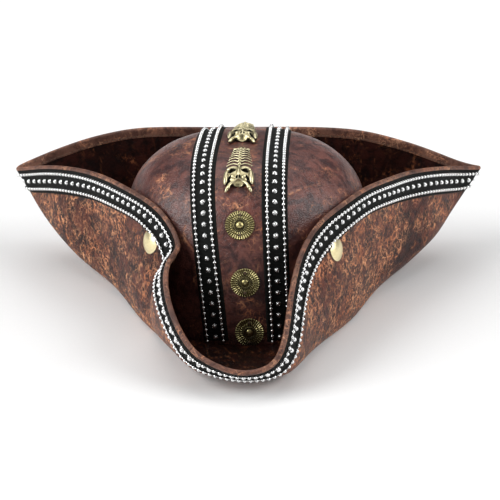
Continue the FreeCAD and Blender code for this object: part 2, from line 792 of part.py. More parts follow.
def nearest_brim(points, normals, target):
    """Sample of the brim's middle sheet, on its wall, nearest to a point."""
    pairs = []
    for prow, nrow in zip(points, normals):
        pairs.extend(zip(prow[WALL_START:], nrow[WALL_START:]))
    return min(pairs, key=lambda pair: (pair[0] - target).Length)


def reach_crown(crown, start, direction):
    """How far a straight line runs from a start outside the crown until it meets it."""
    walked = 0.0
    for _ in range(REACH_STEPS):
        point = start + direction * walked
        seat, out = seat_on(crown, point)
        walked += (point - seat).dot(out)
    return walked


def make_rivets(points, normals, crown):
    """Cap flat on the flap, tubular post through flap and crown, and back cap inside the crown."""
    pieces = {}
    holes = []
    skin = BRIM_CORE / 2 + BRIM_LEATHER
    crown_depth = CROWN_LEATHER + INTERLINING + CROWN_LINING
    post_radius = RIVET_POST_DIAMETER / 2
    for side, target in RIVET_SEATS.items():
        sheet, axis = nearest_brim(points, normals, target)
        cap_seat = sheet + axis * skin
        length = reach_crown(crown, cap_seat, axis * -1.0) + crown_depth + RIVET_BACK_GAP
        inside = cap_seat - axis * length
        pieces[side + "_rivet_cap"] = stand_at(rivet_cap(), cap_seat, axis, V(0, 0, 1))
        pieces[side + "_rivet_post"] = Part.makeCylinder(post_radius, length, inside, axis)
        back_seat = inside - axis * RIVET_BACK_THICKNESS
        pieces[side + "_rivet_back_cap"] = Part.makeCylinder(
            RIVET_BACK_DIAMETER / 2, RIVET_BACK_THICKNESS, back_seat, axis)
        holes.append(Part.makeCylinder(post_radius + RIVET_HOLE_CLEARANCE, length, inside, axis))
    return pieces, Part.makeCompound(holes)


# ---- assembly ---------------------------------------------------------------------------------------------

PIERCED = ("brim_upper_leather", "brim_core", "brim_under_leather", "crown_left_panel",
           "crown_right_panel", "crown_interlining", "crown_lining")


def main():
    os.makedirs("parts", exist_ok=True)
    points, normals = sample_brim()
    crown = crown_surface()
    pieces = {}
    pieces.update(make_brim(points, normals))
    pieces["brim_edge_binding"] = make_binding(points, normals)
    pieces.update(make_brim_trim(points, normals))
    pieces.update(make_crown(crown))
    pieces["sweatband_stitches"] = make_sweatband_stitches(crown)
    pieces.update(make_band(crown, "left", LEFT_SEAM))
    pieces.update(make_band(crown, "right", RIGHT_SEAM))
    pieces.update(make_ornaments(crown))
    rivets, holes = make_rivets(points, normals, crown)
    for name in PIERCED:
        pieces[name] = pieces[name].cut(holes)
    pieces.update(rivets)
    for name, shape in pieces.items():
        save(name, shape)


main()
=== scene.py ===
import math

import bmesh
import bpy
import numpy as np
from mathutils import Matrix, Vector
from mathutils.bvhtree import BVHTree


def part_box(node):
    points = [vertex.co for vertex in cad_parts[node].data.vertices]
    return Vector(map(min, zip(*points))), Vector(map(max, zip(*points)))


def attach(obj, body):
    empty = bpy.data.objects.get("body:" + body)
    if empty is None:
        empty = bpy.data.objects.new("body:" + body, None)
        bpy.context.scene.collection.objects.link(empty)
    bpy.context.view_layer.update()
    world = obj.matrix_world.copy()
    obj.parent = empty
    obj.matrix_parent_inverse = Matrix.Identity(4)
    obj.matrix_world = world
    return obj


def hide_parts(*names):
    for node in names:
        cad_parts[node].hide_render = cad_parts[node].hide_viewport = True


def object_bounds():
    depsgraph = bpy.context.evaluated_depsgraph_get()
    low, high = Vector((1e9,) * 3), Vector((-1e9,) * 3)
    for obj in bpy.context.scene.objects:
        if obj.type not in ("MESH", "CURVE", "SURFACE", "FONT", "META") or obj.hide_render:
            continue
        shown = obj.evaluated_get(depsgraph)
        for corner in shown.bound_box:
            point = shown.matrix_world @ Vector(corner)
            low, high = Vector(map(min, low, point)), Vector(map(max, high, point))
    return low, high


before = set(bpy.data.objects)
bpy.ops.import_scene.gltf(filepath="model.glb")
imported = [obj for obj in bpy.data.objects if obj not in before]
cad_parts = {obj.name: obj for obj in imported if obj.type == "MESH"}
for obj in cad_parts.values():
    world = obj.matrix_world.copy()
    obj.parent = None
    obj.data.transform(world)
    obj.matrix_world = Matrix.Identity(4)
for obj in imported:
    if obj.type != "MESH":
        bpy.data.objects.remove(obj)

# A tricorn hat of distressed leather with studded trim, cast charms and stamped discs.
# Sizes are in millimetres and meshes are made in metres. The origin is the centre of the head opening,
# -Y is the front and +Z is up. The brim and crown follow the same stations and rows as the CAD's.

cad_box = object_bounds()
MM = 0.001
BODY = "root"
SEED = 7

# ---- sizes shared with the CAD ------------------------------------------------------------------------
HEAD_HALF_WIDTH = 88.0
HEAD_HALF_DEPTH = 103.0
CROWN_HEIGHT = 129.0
CROWN_LEATHER = 1.2
INTERLINING = 1.4
CROWN_LINING = 0.6
SWEATBAND = 1.2
SWEATBAND_HEIGHT = 32.0
STITCH_BELOW_TOP = 4.0

BRIM_CORE = 1.0
BRIM_LEATHER = 0.8
BRIM_TO_CROWN_GAP = 0.3
BINDING_DEPTH = 6.0
BINDING_UNDER = 0.9
BINDING_THICKNESS = 0.6

RIBBON_WIDTH = 20.0
RIBBON_THICKNESS = 0.8
RIBBON_BELOW_EDGE = 1.0
CHAIN_DIAMETER = 2.8
CHAIN_FROM_CENTRE = 6.3
STUD_DIAMETER = 3.8
STUD_HEIGHT = 1.6
STUD_PITCH = 8.7
RIBBON_MIDDLE = 0.62        # height of the ribbon's middle, as a share of its thickness

CONCHO_DIAMETER = 22.5
SEAT_GAP = 0.3

# Control rows of the crown: height, and the half width and half depth there as shares of the base's.
CROWN_PROFILE = [
    (0.0, 1.00, 1.00),
    (15.0, 1.01, 0.99),
    (40.0, 1.03, 0.965),
    (65.0, 1.05, 0.925),
    (84.0, 1.055, 0.88),
    (99.0, 1.00, 0.825),
    (113.0, 0.88, 0.725),
    (123.5, 0.70, 0.58),
    (128.5, 0.44, 0.37),
    (CROWN_HEIGHT, 0.20, 0.17),
    (CROWN_HEIGHT, 0.05, 0.043),
]
CROWN_STATIONS = 24
RAY_CENTRE_HEIGHT = 40.0

# Each seam of the centre panel lies in one plane, x = at_front + lean * z + drift * (y - front).
LEFT_SEAM = {"at_front": -23.0, "lean": -0.118, "drift": 0.072}
RIGHT_SEAM = {"at_front": 25.0, "lean": -0.05, "drift": 0.045}

# One section of the brim at each station: its angle on the head opening, then the toe, where the brim
# turns up, the edge, and how far the wall between them is pushed sideways.
FRONT = [(-90, (0, -170, 3), (-3, -199.5, 21), (0, 0))]
RIGHT_SPOUT = [
    (-81, (26, -165, 2.5), (15, -197, 24.5), (0, 0)),
    (-71, (38, -145, 1), (25.5, -186, 39), (3, -2)),
    (-61, (48, -124, 0), (32, -157, 65), (5, 0)),
    (-50, (58, -101, 0), (39, -118, 83), (7, 0)),
    (-38, (70, -74, 0), (53, -84, 93.5), (7, -3)),
    (-24, (83, -46, 0), (71.5, -58, 100), (3, -3)),
    (-8, (96.5, -12, 0), (95, -20, 101), (3, -1)),
]
RIGHT_REAR = [
    (8, (114, 20, 1), (122, 30, 93), (3, -1)),
    (22, (137, 50, 6), (152, 73, 83), (2, -2)),
    (33, (156, 80, 20), (179, 107, 71), (0, 0)),
    (40, (166, 98, 36), (192, 122, 66), (0, 0)),
    (47, (154, 106, 24), (177, 125, 69), (0, 0)),
    (58, (114, 119, 6), (140, 129, 83), (0, 0)),
    (70, (72, 125, 0), (92, 131, 95.5), (0, 0)),
    (80, (36, 122, 0), (46, 132, 98), (0, 0)),
]
BACK = [(90, (0, 121, 0), (0, 132, 98), (0, 0))]
LEFT_REAR = [
    (100, (-36, 122, 0), (-46, 132, 98), (0, 0)),
    (110, (-72, 125, 0), (-92, 131, 97), (0, 0)),
    (122, (-114, 119, 6), (-140, 129, 86), (0, 0)),
    (133, (-154, 106, 24), (-178, 125, 71), (0, 0)),
    (140, (-166, 98, 36), (-190, 122, 65), (0, 0)),
    (147, (-156, 80, 20), (-179, 107, 71), (0, 0)),
    (158, (-137, 50, 6), (-152, 73, 84), (-2, -2)),
    (172, (-114, 20, 1), (-119, 26, 95), (-3, -1)),
]
LEFT_SPOUT = [
    (188, (-97, -12, 0), (-92.5, -22, 100.5), (-3, -1)),
    (204, (-84, -47, 0), (-65.5, -62, 97), (-4, -3)),
    (217, (-74, -73, 0), (-50.5, -84, 79.5), (-6, -3)),
    (226, (-67, -89, 0), (-54, -104, 76), (-10, 0)),
    (234, (-61, -104, 0), (-59, -130, 71), (-9, 0)),
    (243, (-51, -124, 0), (-54, -162, 54), (-5, 0)),
    (252, (-41, -145, 1), (-40, -184, 34), (-3, -2)),
    (261, (-28, -164, 2.5), (-20, -196.5, 24.5), (0, 0)),
]
STATIONS = FRONT + RIGHT_SPOUT + RIGHT_REAR + BACK + LEFT_REAR + LEFT_SPOUT
LOW_WALL = 0.33
HIGH_WALL = 0.72
LOW_WALL_PUSH = 2.0
FLAT_START = 6.0
FLAT_START_SHARE = 0.4
SHEET_SHORT = 0.035
EDGE_SAMPLES = 6000

# ---- surface detail that only this model has -------------------------------------------------------------
BRIM_AROUND = 1400          # sections round the brim
BRIM_ACROSS = 72            # points across it
CROWN_AROUND = 480
CROWN_UP = 130
BRIM_WAVE = 0.55            # slow unevenness of the stiff brim
BRIM_WAVE_LENGTH = 60.0
WAVE_FADE_HEIGHT = 30.0     # the wave grows from nothing at the crown to full at this height
RIVET_CALM = 16.0           # and fades again within this distance of a rivet
CREASE_FADE = 6.0           # distance beyond the trim in which creases start
PUCKER = 0.12               # unevenness of the binding's turned side
PUCKER_PITCH = 8
CROWN_DENT = 0.5            # slow unevenness of the crown, inwards only
CROWN_DENT_LENGTH = 48.0
CREASE_DEPTH = 0.28
CREASE_LENGTH = 42.0
SMOOTH_ANGLE = math.radians(40)
BALL_PITCH = 4.35
LINK_DIAMETER = 0.7
STITCH_PITCH = 3.4
STITCH_DIAMETER = 0.55
BINDING_STITCH_SHARE = 0.72     # a stitch's length as a share of its pitch
BAND_STITCH_SHARE = 0.7
HEM_STITCH_FROM_EDGE = 4.8
SWEATBAND_STITCHES = 130
LINING_PLEATS = 26
LINING_GATHER = 25.0        # height above the sweatband in which the pleats form
PLEAT_DEPTH = 1.6
CONCHO_RAYS = 36
CONCHO_INNER_RAYS = 24
CONCHO_AROUND = 288
CONCHO_OUTWARDS = 64
CONCHO_HOLE_SHARE = 0.68
CONCHO_LOOK = (1.1, -115.0, 0.2)    # a point in front of each disc, from its x and height

# Each disc's x and height on the front of the crown. The top of each charm's skull, x and y.
CONCHOS = {
    "concho_upper": (-5.1, 97.0),
    "concho_middle": (-1.4, 52.0),
    "concho_lower": (1.9, 13.5),
}
CHARMS = {
    "skull_ornament_front": (-5.9, -54.0),
    "skull_ornament_top": (-2.9, 19.0),
}
CHARM_HEADING = np.array([0.05, 1.0, 0.0])
CHARM_FROM = -28.0          # distances along the crown that a charm covers
CHARM_TO = 40.0
CHARM_VOXEL = 0.24
CHARM_FLOOR = 0.35          # thickness left under a hollow
BEAD_PITCH = 0.45
RIB_PAIRS = 7
RIB_START = 3.5
RIB_PITCH = 4.3
EYELET_AT = 35.5

# ---- camera and light ----------------------------------------------------------------------------------
CAMERA_ELEVATION = 21.0
CAMERA_DISTANCE = 2.0
CAMERA_LENS = 182.9
CAMERA_TARGET = Vector((0.00236, 0.0, 0.0398))
ROOM_LIGHT = 0.14
FLOOR_HALF = 20000.0
FLOOR_DROP = 0.2
# Each light's direction, its spread in degrees and its strength.
LIGHTS = {
    "left_light": ((-0.85, -0.30, 0.55), 50.0, 2.6),
    "right_light": ((0.85, -0.25, 0.55), 50.0, 1.9),
    "top_light": ((0.0, 0.40, 1.0), 60.0, 1.1),
}


# ---- surfaces ------------------------------------------------------------------------------------------


def around_weights(u, count):
    """Weights of a closed uniform cubic's poles at parameters u."""
    whole = np.floor(u).astype(int)
    t = u - whole
    shares = np.stack([(1 - t) ** 3, 3 * t ** 3 - 6 * t ** 2 + 4,
                       -3 * t ** 3 + 3 * t ** 2 + 3 * t + 1, t ** 3])
    weights = np.zeros((len(u), count))
    for k in range(4):
        weights[np.arange(len(u)), (whole + k - 1) % count] += shares[k] / 6
    return weights


def across_weights(v, count):
    """Weights of a clamped uniform cubic's poles at parameters v."""
    spans = count - 3
    knots = np.concatenate([np.zeros(3), np.arange(spans + 1), np.full(3, spans)])
    v = np.clip(v, 0, spans - 1e-9)[:, None]
    weights = ((v >= knots[:-1]) & (v < knots[1:])).astype(float)
    for degree in (1, 2, 3):
        grown = np.zeros((len(v), len(knots) - 1 - degree))
        for i in range(grown.shape[1]):
            left = knots[i + degree] - knots[i]
            right = knots[i + degree + 1] - knots[i + 1]
            if left > 0:
                grown[:, i] += (v[:, 0] - knots[i]) / left * weights[:, i]
            if right > 0:
                grown[:, i] += (knots[i + degree + 1] - v[:, 0]) / right * weights[:, i + 1]
        weights = grown
    return weights


class RingSurface:
    """Closed surface through a ring of sections. Each section's points are its poles."""

    def __init__(self, sections):
        sections = np.array(sections, float)
        self.count = len(sections)
        self.across = sections.shape[1]
        self.v_end = float(self.across - 3)
        through = around_weights(np.arange(self.count, dtype=float), self.count)
        self.poles = np.linalg.solve(through, sections.reshape(self.count, -1)).reshape(sections.shape)

    def points(self, u, v):
        return np.einsum("ui,ijk,vj->uvk", around_weights(u, self.count), self.poles,
                         across_weights(v, self.across))

    def normals(self, u, v):
        step = 1e-3
        along_u = self.points(u + step, v) - self.points(u - step, v)
        ahead = np.clip(v + step, 0, self.v_end)
        behind = np.clip(v - step, 0, self.v_end)
        along_v = self.points(u, ahead) - self.points(u, behind)
        return unit(np.cross(along_u, along_v))


def unit(vectors):
    return vectors / np.maximum(np.linalg.norm(vectors, axis=-1, keepdims=True), 1e-12)


def soft_noise(points, wavelength, seed, waves=9):
    """Smooth value about -1 to 1 at each point, the sum of a few plane waves."""
    rng = np.random.default_rng(seed)
    total = np.zeros(points.shape[:-1])
    for _ in range(waves):
        direction = unit(rng.normal(size=3))
        length = wavelength * rng.uniform(0.6, 1.6)
        total += np.sin(points @ direction * (2 * math.pi / length) + rng.uniform(0, 2 * math.pi))
    return total / math.sqrt(waves)


def crease_mask(points, wavelength, seed, sharpness):
    """1 along thin wandering lines, 0 away from them."""
    line = soft_noise(points, wavelength, seed)
    strength = np.clip(soft_noise(points, wavelength * 1.7, seed + 1) + 0.1, 0, 1)
    return np.exp(-(line / sharpness) ** 2) * strength


# ---- meshes --------------------------------------------------------------------------------------------


def add_object(name, points, faces, material, attributes=None):
    """Mesh object from points in millimetres."""
    mesh = bpy.data.meshes.new(name)
    mesh.from_pydata((np.asarray(points, float) * MM).tolist(), [], [tuple(face) for face in faces])
    for attribute, values in (attributes or {}).items():
        mesh.attributes.new(attribute, "FLOAT", "POINT").data.foreach_set("value", np.ravel(values))
    mesh.polygons.foreach_set("use_smooth", [True] * len(mesh.polygons))
    mesh.set_sharp_from_angle(angle=SMOOTH_ANGLE)
    mesh.materials.append(material)
    made = bpy.data.objects.new(name, mesh)
    bpy.context.scene.collection.objects.link(made)
    return made


def stand_in(piece, slot, *nodes):
    """Fix a piece to the hat and hide the CAD nodes it stands for."""
    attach(piece, BODY)
    if nodes:
        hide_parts(*nodes)
    return piece


def grid_faces(rows, columns, close_rows, close_columns, start=0):
    """Quads of a grid whose points run column by column within each row."""
    i, j = np.meshgrid(np.arange(rows if close_rows else rows - 1),
                       np.arange(columns if close_columns else columns - 1), indexing="ij")
    i2 = (i + 1) % rows
    j2 = (j + 1) % columns
    quads = np.stack([i * columns + j, i2 * columns + j, i2 * columns + j2, i * columns + j2], -1)
    return (quads.reshape(-1, 4) + start).tolist()


def set_uv(piece, grid_u, grid_v, columns):
    """UV map in metres for a grid mesh: grid_u along the rows, grid_v across the columns."""
    mesh = piece.data
    layer = mesh.uv_layers.new(name="UVMap")
    vertex = np.zeros(len(mesh.loops), int)
    mesh.loops.foreach_get("vertex_index", vertex)
    row, column = vertex // columns, vertex % columns
    face = np.repeat(np.arange(len(mesh.polygons)), [p.loop_total for p in mesh.polygons])
    lowest = np.full(len(mesh.polygons), len(grid_u))
    np.minimum.at(lowest, face, row)
    wrapped = (row == 0) & (lowest[face] == 0)
    highest = np.zeros(len(mesh.polygons), int)
    np.maximum.at(highest, face, row)
    u = grid_u[row] * MM
    u[wrapped & (highest[face] == len(grid_u) - 1)] = (2 * grid_u[-1] - grid_u[-2]) * MM
    uv = np.stack([u, grid_v[column] * MM], -1)
    layer.data.foreach_set("uv", uv.ravel())


def band_mesh(name, sections, material, closed, attributes=None):
    """Solid strip from closed cross-sections. It joins up into a ring, or ends in two caps."""
    sections = np.asarray(sections)
    rows, columns = sections.shape[:2]
    faces = grid_faces(rows, columns, closed, True)
    if not closed:
        faces.append(tuple(range(columns - 1, -1, -1)))
        faces.append(tuple((rows - 1) * columns + j for j in range(columns)))
    made = add_object(name, sections.reshape(-1, 3), faces, material, attributes=attributes)
    face_outwards(made)
    return made


def face_outwards(piece):
    mesh = bmesh.new()
    mesh.from_mesh(piece.data)
    bmesh.ops.recalc_face_normals(mesh, faces=mesh.faces)
    mesh.to_mesh(piece.data)
    mesh.free()


def scatter(name, template, frames, material):
    """One mesh of a (points, faces) template at each frame of (origin, x axis, y axis, z axis)."""
    points, faces = template
    origins, x_axes, y_axes, z_axes = frames
    placed = origins[:, None] + points[None, :, 0:1] * x_axes[:, None]
    placed = placed + points[None, :, 1:2] * y_axes[:, None] + points[None, :, 2:3] * z_axes[:, None]
    count = len(points)
    every = [[index + k * count for index in face] for k in range(len(origins)) for face in faces]
    return add_object(name, placed.reshape(-1, 3), every, material)


def lathe(profile, segments):
    """Points and faces of a profile of (radius, height) turned about Z. It starts at the outer rim."""
    points = []
    for radius, height in profile[:-1]:
        for k in range(segments):
            turn = 2 * math.pi * k / segments
            points.append((radius * math.cos(turn), radius * math.sin(turn), height))
    points.append((0.0, 0.0, profile[-1][1]))
    rings = len(profile) - 1
    faces = []
    for i in range(rings - 1):
        for k in range(segments):
            n = (k + 1) % segments
            faces.append((i * segments + k, i * segments + n, (i + 1) * segments + n, (i + 1) * segments + k))
    last = (rings - 1) * segments
    for k in range(segments):
        faces.append((last + k, last + (k + 1) % segments, rings * segments))
    return np.array(points), faces


def ball(radius, segments=14, rings=9):
    """Points and faces of a sphere."""
    points = [(0.0, 0.0, -radius)]
    for i in range(1, rings):
        turn = math.pi * i / rings
        wide = radius * math.sin(turn)
        for k in range(segments):
            angle = 2 * math.pi * k / segments
            points.append((wide * math.cos(angle), wide * math.sin(angle), -radius * math.cos(turn)))
    points.append((0.0, 0.0, radius))
    faces = []
    top = len(points) - 1
    for k in range(segments):
        n = (k + 1) % segments
        faces.append((0, 1 + n, 1 + k))
        faces.append((top, top - segments + k, top - segments + n))
        for i in range(rings - 2):
            low = 1 + i * segments
            faces.append((low + k, low + n, low + segments + n, low + segments + k))
    return np.array(points), faces


def rod(radius, length, segments=8):
    """Points and faces of a round rod along X with rounded ends."""
    stations = [(-0.5, 0.3), (-0.42, 0.85), (-0.3, 1.0), (0.3, 1.0), (0.42, 0.85), (0.5, 0.3)]
    points = []
    for along, share in stations:
        thick = radius * share
        for k in range(segments):
            angle = 2 * math.pi * k / segments
            points.append((along * length, thick * math.cos(angle), thick * math.sin(angle)))
    faces = grid_faces(len(stations), segments, False, True)
    faces.append(tuple(range(segments)))
    faces.append(tuple(range(len(points) - 1, len(points) - segments - 1, -1)))
    return np.array(points), faces


# ---- paths ---------------------------------------------------------------------------------------------


def even_places(points, normals, pitch, closed, shift=0.0):
    """Frames at an even pitch along a path: origin, along, sideways and outward axes."""
    if closed:
        points = np.vstack([points, points[:1]])
        normals = np.vstack([normals, normals[:1]])
    walked = np.concatenate([[0.0], np.cumsum(np.linalg.norm(np.diff(points, axis=0), axis=1))])
    total = walked[-1]
    if closed:
        count = round(total / pitch)
        at = (np.arange(count) + shift) * total / count
    else:
        count = int((total - shift * pitch) / pitch)
        at = (np.arange(count) + shift) * pitch
    origin = sample_path(walked, points, at)
    step = pitch * 0.2
    ahead = sample_path(walked, points, np.minimum(at + step, total))
    behind = sample_path(walked, points, np.maximum(at - step, 0.0))
    out = unit(sample_path(walked, normals, at))
    along = unit(ahead - behind)
    along = unit(along - out * (along * out).sum(-1, keepdims=True))
    return origin, along, np.cross(out, along), out


def sample_path(walked, values, at):
    return np.stack([np.interp(at, walked, values[:, k]) for k in range(3)], -1)


# ---- brim ----------------------------------------------------------------------------------------------


def brim_section(station):
    """Six control points of the brim's middle sheet, from the crown's base to the edge."""
    angle, toe, edge, belly = station
    middle = BRIM_CORE / 2 + BRIM_LEATHER
    turn = math.radians(angle)
    gap = BRIM_TO_CROWN_GAP
    base = np.array([(HEAD_HALF_WIDTH + gap) * math.cos(turn),
                     (HEAD_HALF_DEPTH + gap) * math.sin(turn), middle])
    toe = np.array(toe, float) + (0, 0, middle)
    edge = np.array(edge, float) + (0, 0, middle)
    out = np.array([toe[0] - base[0], toe[1] - base[1], 0.0])
    reach = np.linalg.norm(out)
    out /= reach
    flat = base + out * min(FLAT_START, reach * FLAT_START_SHARE)
    wall = edge - toe
    push = np.array([belly[0], belly[1], 0.0])
    low = toe + wall * LOW_WALL + out * LOW_WALL_PUSH + push
    high = toe + wall * HIGH_WALL + push
    return [base, flat, toe, low, high, edge]


class Brim:
    """The brim's middle sheet as a dense grid, with distances measured from its edge."""

    def __init__(self):
        surface = RingSurface([brim_section(station) for station in STATIONS])
        v_end = surface.v_end - SHEET_SHORT
        fine = np.linspace(0, surface.count, EDGE_SAMPLES)
        edge = surface.points(fine, np.array([v_end]))[:, 0]
        walked = np.concatenate([[0.0], np.cumsum(np.linalg.norm(np.diff(edge, axis=0), axis=1))])
        u = np.interp(np.arange(BRIM_AROUND) * walked[-1] / BRIM_AROUND, walked, fine)
        v = np.linspace(0, v_end, BRIM_ACROSS)
        points = surface.points(u, v)
        normals = surface.normals(u, v)
        if normals[:, 0, 2].mean() > 0:
            normals = -normals
        self.normals = normals
        self.points = points + normals * self.wave(points)[..., None]
        steps = np.linalg.norm(np.diff(self.points[:, ::-1], axis=1), axis=-1)
        self.from_edge = np.concatenate([np.zeros((len(u), 1)), np.cumsum(steps, axis=1)], 1)
        self.edge_walk = walked[-1] * np.arange(BRIM_AROUND) / BRIM_AROUND

    def wave(self, points):
        """Slow unevenness that fades out at the crown and at the rivets."""
        height = np.clip(points[..., 2] / WAVE_FADE_HEIGHT, 0, 1)
        fade = height * height * (3 - 2 * height)
        for node in ("left_rivet_cap", "right_rivet_cap"):
            low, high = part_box(node)
            centre = np.array((low + high) / 2) / MM
            away = np.linalg.norm(points - centre, axis=-1)
            fade = fade * (1 - np.exp(-(away / RIVET_CALM) ** 4))
        return soft_noise(points, BRIM_WAVE_LENGTH, SEED) * BRIM_WAVE * fade

    def line(self, distance):
        """Points and normals of every section at this distance from the edge."""
        points = np.zeros((BRIM_AROUND, 3))
        normals = np.zeros((BRIM_AROUND, 3))
        for i in range(BRIM_AROUND):
            for k in range(3):
                points[i, k] = np.interp(distance, self.from_edge[i], self.points[i, ::-1, k])
                normals[i, k] = np.interp(distance, self.from_edge[i], self.normals[i, ::-1, k])
        return points, unit(normals)


def make_brim(brim, shaded_inner_leather, outer_leather, stiffener):
    """Stiff core between two leathers, all closed sheets. Creases press the leathers in a little."""
    half_core = BRIM_CORE / 2
    skin = half_core + BRIM_LEATHER
    past_trim = brim.from_edge[:, ::-1] - RIBBON_BELOW_EDGE - RIBBON_WIDTH
    clear_of_trim = np.clip(past_trim / CREASE_FADE, 0, 1)
    # The upper face takes the darker copy of the flap leather, painted shade for the inside of the brim.
    layers = ((-1, "brim_upper_leather", 1.0, 31, shaded_inner_leather),
              (1, "brim_under_leather", clear_of_trim, 47, outer_leather))
    for side, name, fade, seed, leather in layers:
        long_creases = crease_mask(brim.points, CREASE_LENGTH, seed, 0.05)
        short_creases = crease_mask(brim.points, CREASE_LENGTH * 0.45, seed + 5, 0.07)
        creases = np.maximum(long_creases, 0.6 * short_creases) * fade
        face = brim.points + brim.normals * (side * (skin - CREASE_DEPTH * creases))[..., None]
        back = brim.points + brim.normals * side * half_core
        sections = np.concatenate([face, back[:, ::-1]], 1)
        wear = np.concatenate([creases, np.zeros_like(creases)], 1)
        piece = band_mesh(name, sections, leather, True, {"wear": wear})
        stand_in(piece, "leather", name)
    core = [brim.points + brim.normals * side * half_core for side in (-1, 1)]
    sheet = band_mesh("brim_core", np.concatenate([core[0], core[1][:, ::-1]], 1), stiffener, True)
    stand_in(sheet, "stiffener", "brim_core")


def binding_sections(brim, radius, pucker):
    """U-shaped sections that wrap the brim's edge at one radius."""
    columns = []
    for distance in (BINDING_UNDER, BINDING_UNDER / 2):
        points, normals = brim.line(distance)
        columns.append(points + normals * radius)
    points, normals = brim.line(0.0)
    inside, _ = brim.line(1.0)
    away = unit(points - inside)
    for degrees in range(0, 181, 20):
        turn = math.radians(degrees)
        columns.append(points + normals * (radius * math.cos(turn)) + away * (radius * math.sin(turn)))
    for share in (0.15, 0.3, 0.5, 0.7, 0.85, 1.0):
        points, normals = brim.line(BINDING_DEPTH * share)
        columns.append(points - normals * (radius + pucker[:, None] * math.sin(math.pi * share)))
    return np.stack(columns, 1)


def make_binding(brim, leather, thread):
    """Leather turned over the edge, with a stitched hem on the upper face."""
    skin = BRIM_CORE / 2 + BRIM_LEATHER
    rng = np.random.default_rng(SEED + 3)
    places = np.arange(0, BRIM_AROUND, PUCKER_PITCH)
    pulls = rng.uniform(-PUCKER, PUCKER, len(places))
    pucker = np.interp(np.arange(BRIM_AROUND), places, pulls)
    inner = binding_sections(brim, skin, pucker * 0)
    outer = binding_sections(brim, skin + BINDING_THICKNESS, pucker)
    piece = band_mesh("brim_edge_binding", np.concatenate([outer, inner[:, ::-1]], 1), leather, True)
    stand_in(piece, "leather", "brim_edge_binding")
    points, normals = brim.line(HEM_STITCH_FROM_EDGE)
    seat = points - normals * (skin + BINDING_THICKNESS)
    frames = even_places(seat, -normals, STITCH_PITCH, True)
    stitch = rod(STITCH_DIAMETER / 2, STITCH_PITCH * BINDING_STITCH_SHARE)
    stitches = scatter("brim_binding_stitches", stitch, frames, thread)
    stand_in(stitches, "thread")


def ribbon_section(half_width, thickness, samples):
    """Cross-section of a woven ribbon as (across, height): a thin strip with thicker selvages."""
    across = np.linspace(-half_width, half_width, samples)
    from_side = half_width - np.abs(across)
    selvage = np.exp(-((from_side - 0.9) / 0.6) ** 2)
    height = thickness * (0.55 + 0.45 * selvage) * np.clip(from_side / 0.5, 0.25, 1)
    return across, height


def make_brim_trim(brim, ribbon, silver):
    seat = BRIM_CORE / 2 + BRIM_LEATHER
    top = seat + RIBBON_THICKNESS * RIBBON_MIDDLE
    centre = RIBBON_BELOW_EDGE + RIBBON_WIDTH / 2
    across, height = ribbon_section(RIBBON_WIDTH / 2, RIBBON_THICKNESS, 25)
    lines = [brim.line(centre + a) for a in across]
    outer = np.stack([points + normals * (seat + h) for (points, normals), h in zip(lines, height)], 1)
    inner = np.stack([points + normals * seat for points, normals in lines], 1)
    piece = band_mesh("brim_trim_ribbon", np.concatenate([outer, inner[:, ::-1]], 1), ribbon, True)
    set_uv(piece, brim.edge_walk, np.concatenate([across, across[::-1]]), 2 * len(across))
    stand_in(piece, "ribbon", "brim_trim_ribbon")
    for name, distance in (("upper", centre - CHAIN_FROM_CENTRE), ("lower", centre + CHAIN_FROM_CENTRE)):
        points, normals = brim.line(distance)
        make_chain("brim_trim_" + name + "_chain", points + normals * top, normals, True, silver)
    points, normals = brim.line(centre)
    frames = even_places(points + normals * top, normals, STUD_PITCH, True)
    studs = scatter("brim_trim_studs", stud_template(), frames, silver)
    stand_in(studs, "silver", "brim_trim_studs")


def make_chain(node, seat, normals, closed, silver):
    """Row of balls joined by thin links, as one piece."""
    radius = CHAIN_DIAMETER / 2
    path = seat + normals * radius
    balls = even_places(path, normals, BALL_PITCH, closed)
    links = even_places(path, normals, BALL_PITCH, closed, 0.5)
    row = scatter(node + "_balls", ball(radius), balls, silver)
    stand_in(row, "silver", node)
    joins = scatter(node + "_links", rod(LINK_DIAMETER / 2, BALL_PITCH - CHAIN_DIAMETER * 0.8), links, silver)
    stand_in(joins, "silver")


def stud_template():
    """Domed stud with a narrow turned rim."""
    radius = STUD_DIAMETER / 2
    profile = [(radius, 0.0), (radius, 0.16), (radius * 0.93, 0.3), (radius * 0.88, 0.34)]
    for degrees in (15, 30, 45, 60, 75):
        turn = math.radians(degrees)
        profile.append((radius * 0.88 * math.cos(turn), 0.34 + (STUD_HEIGHT - 0.34) * math.sin(turn)))
    profile.append((0.0, STUD_HEIGHT))
    return lathe(profile, 20)


# ---- crown ---------------------------------------------------------------------------------------------


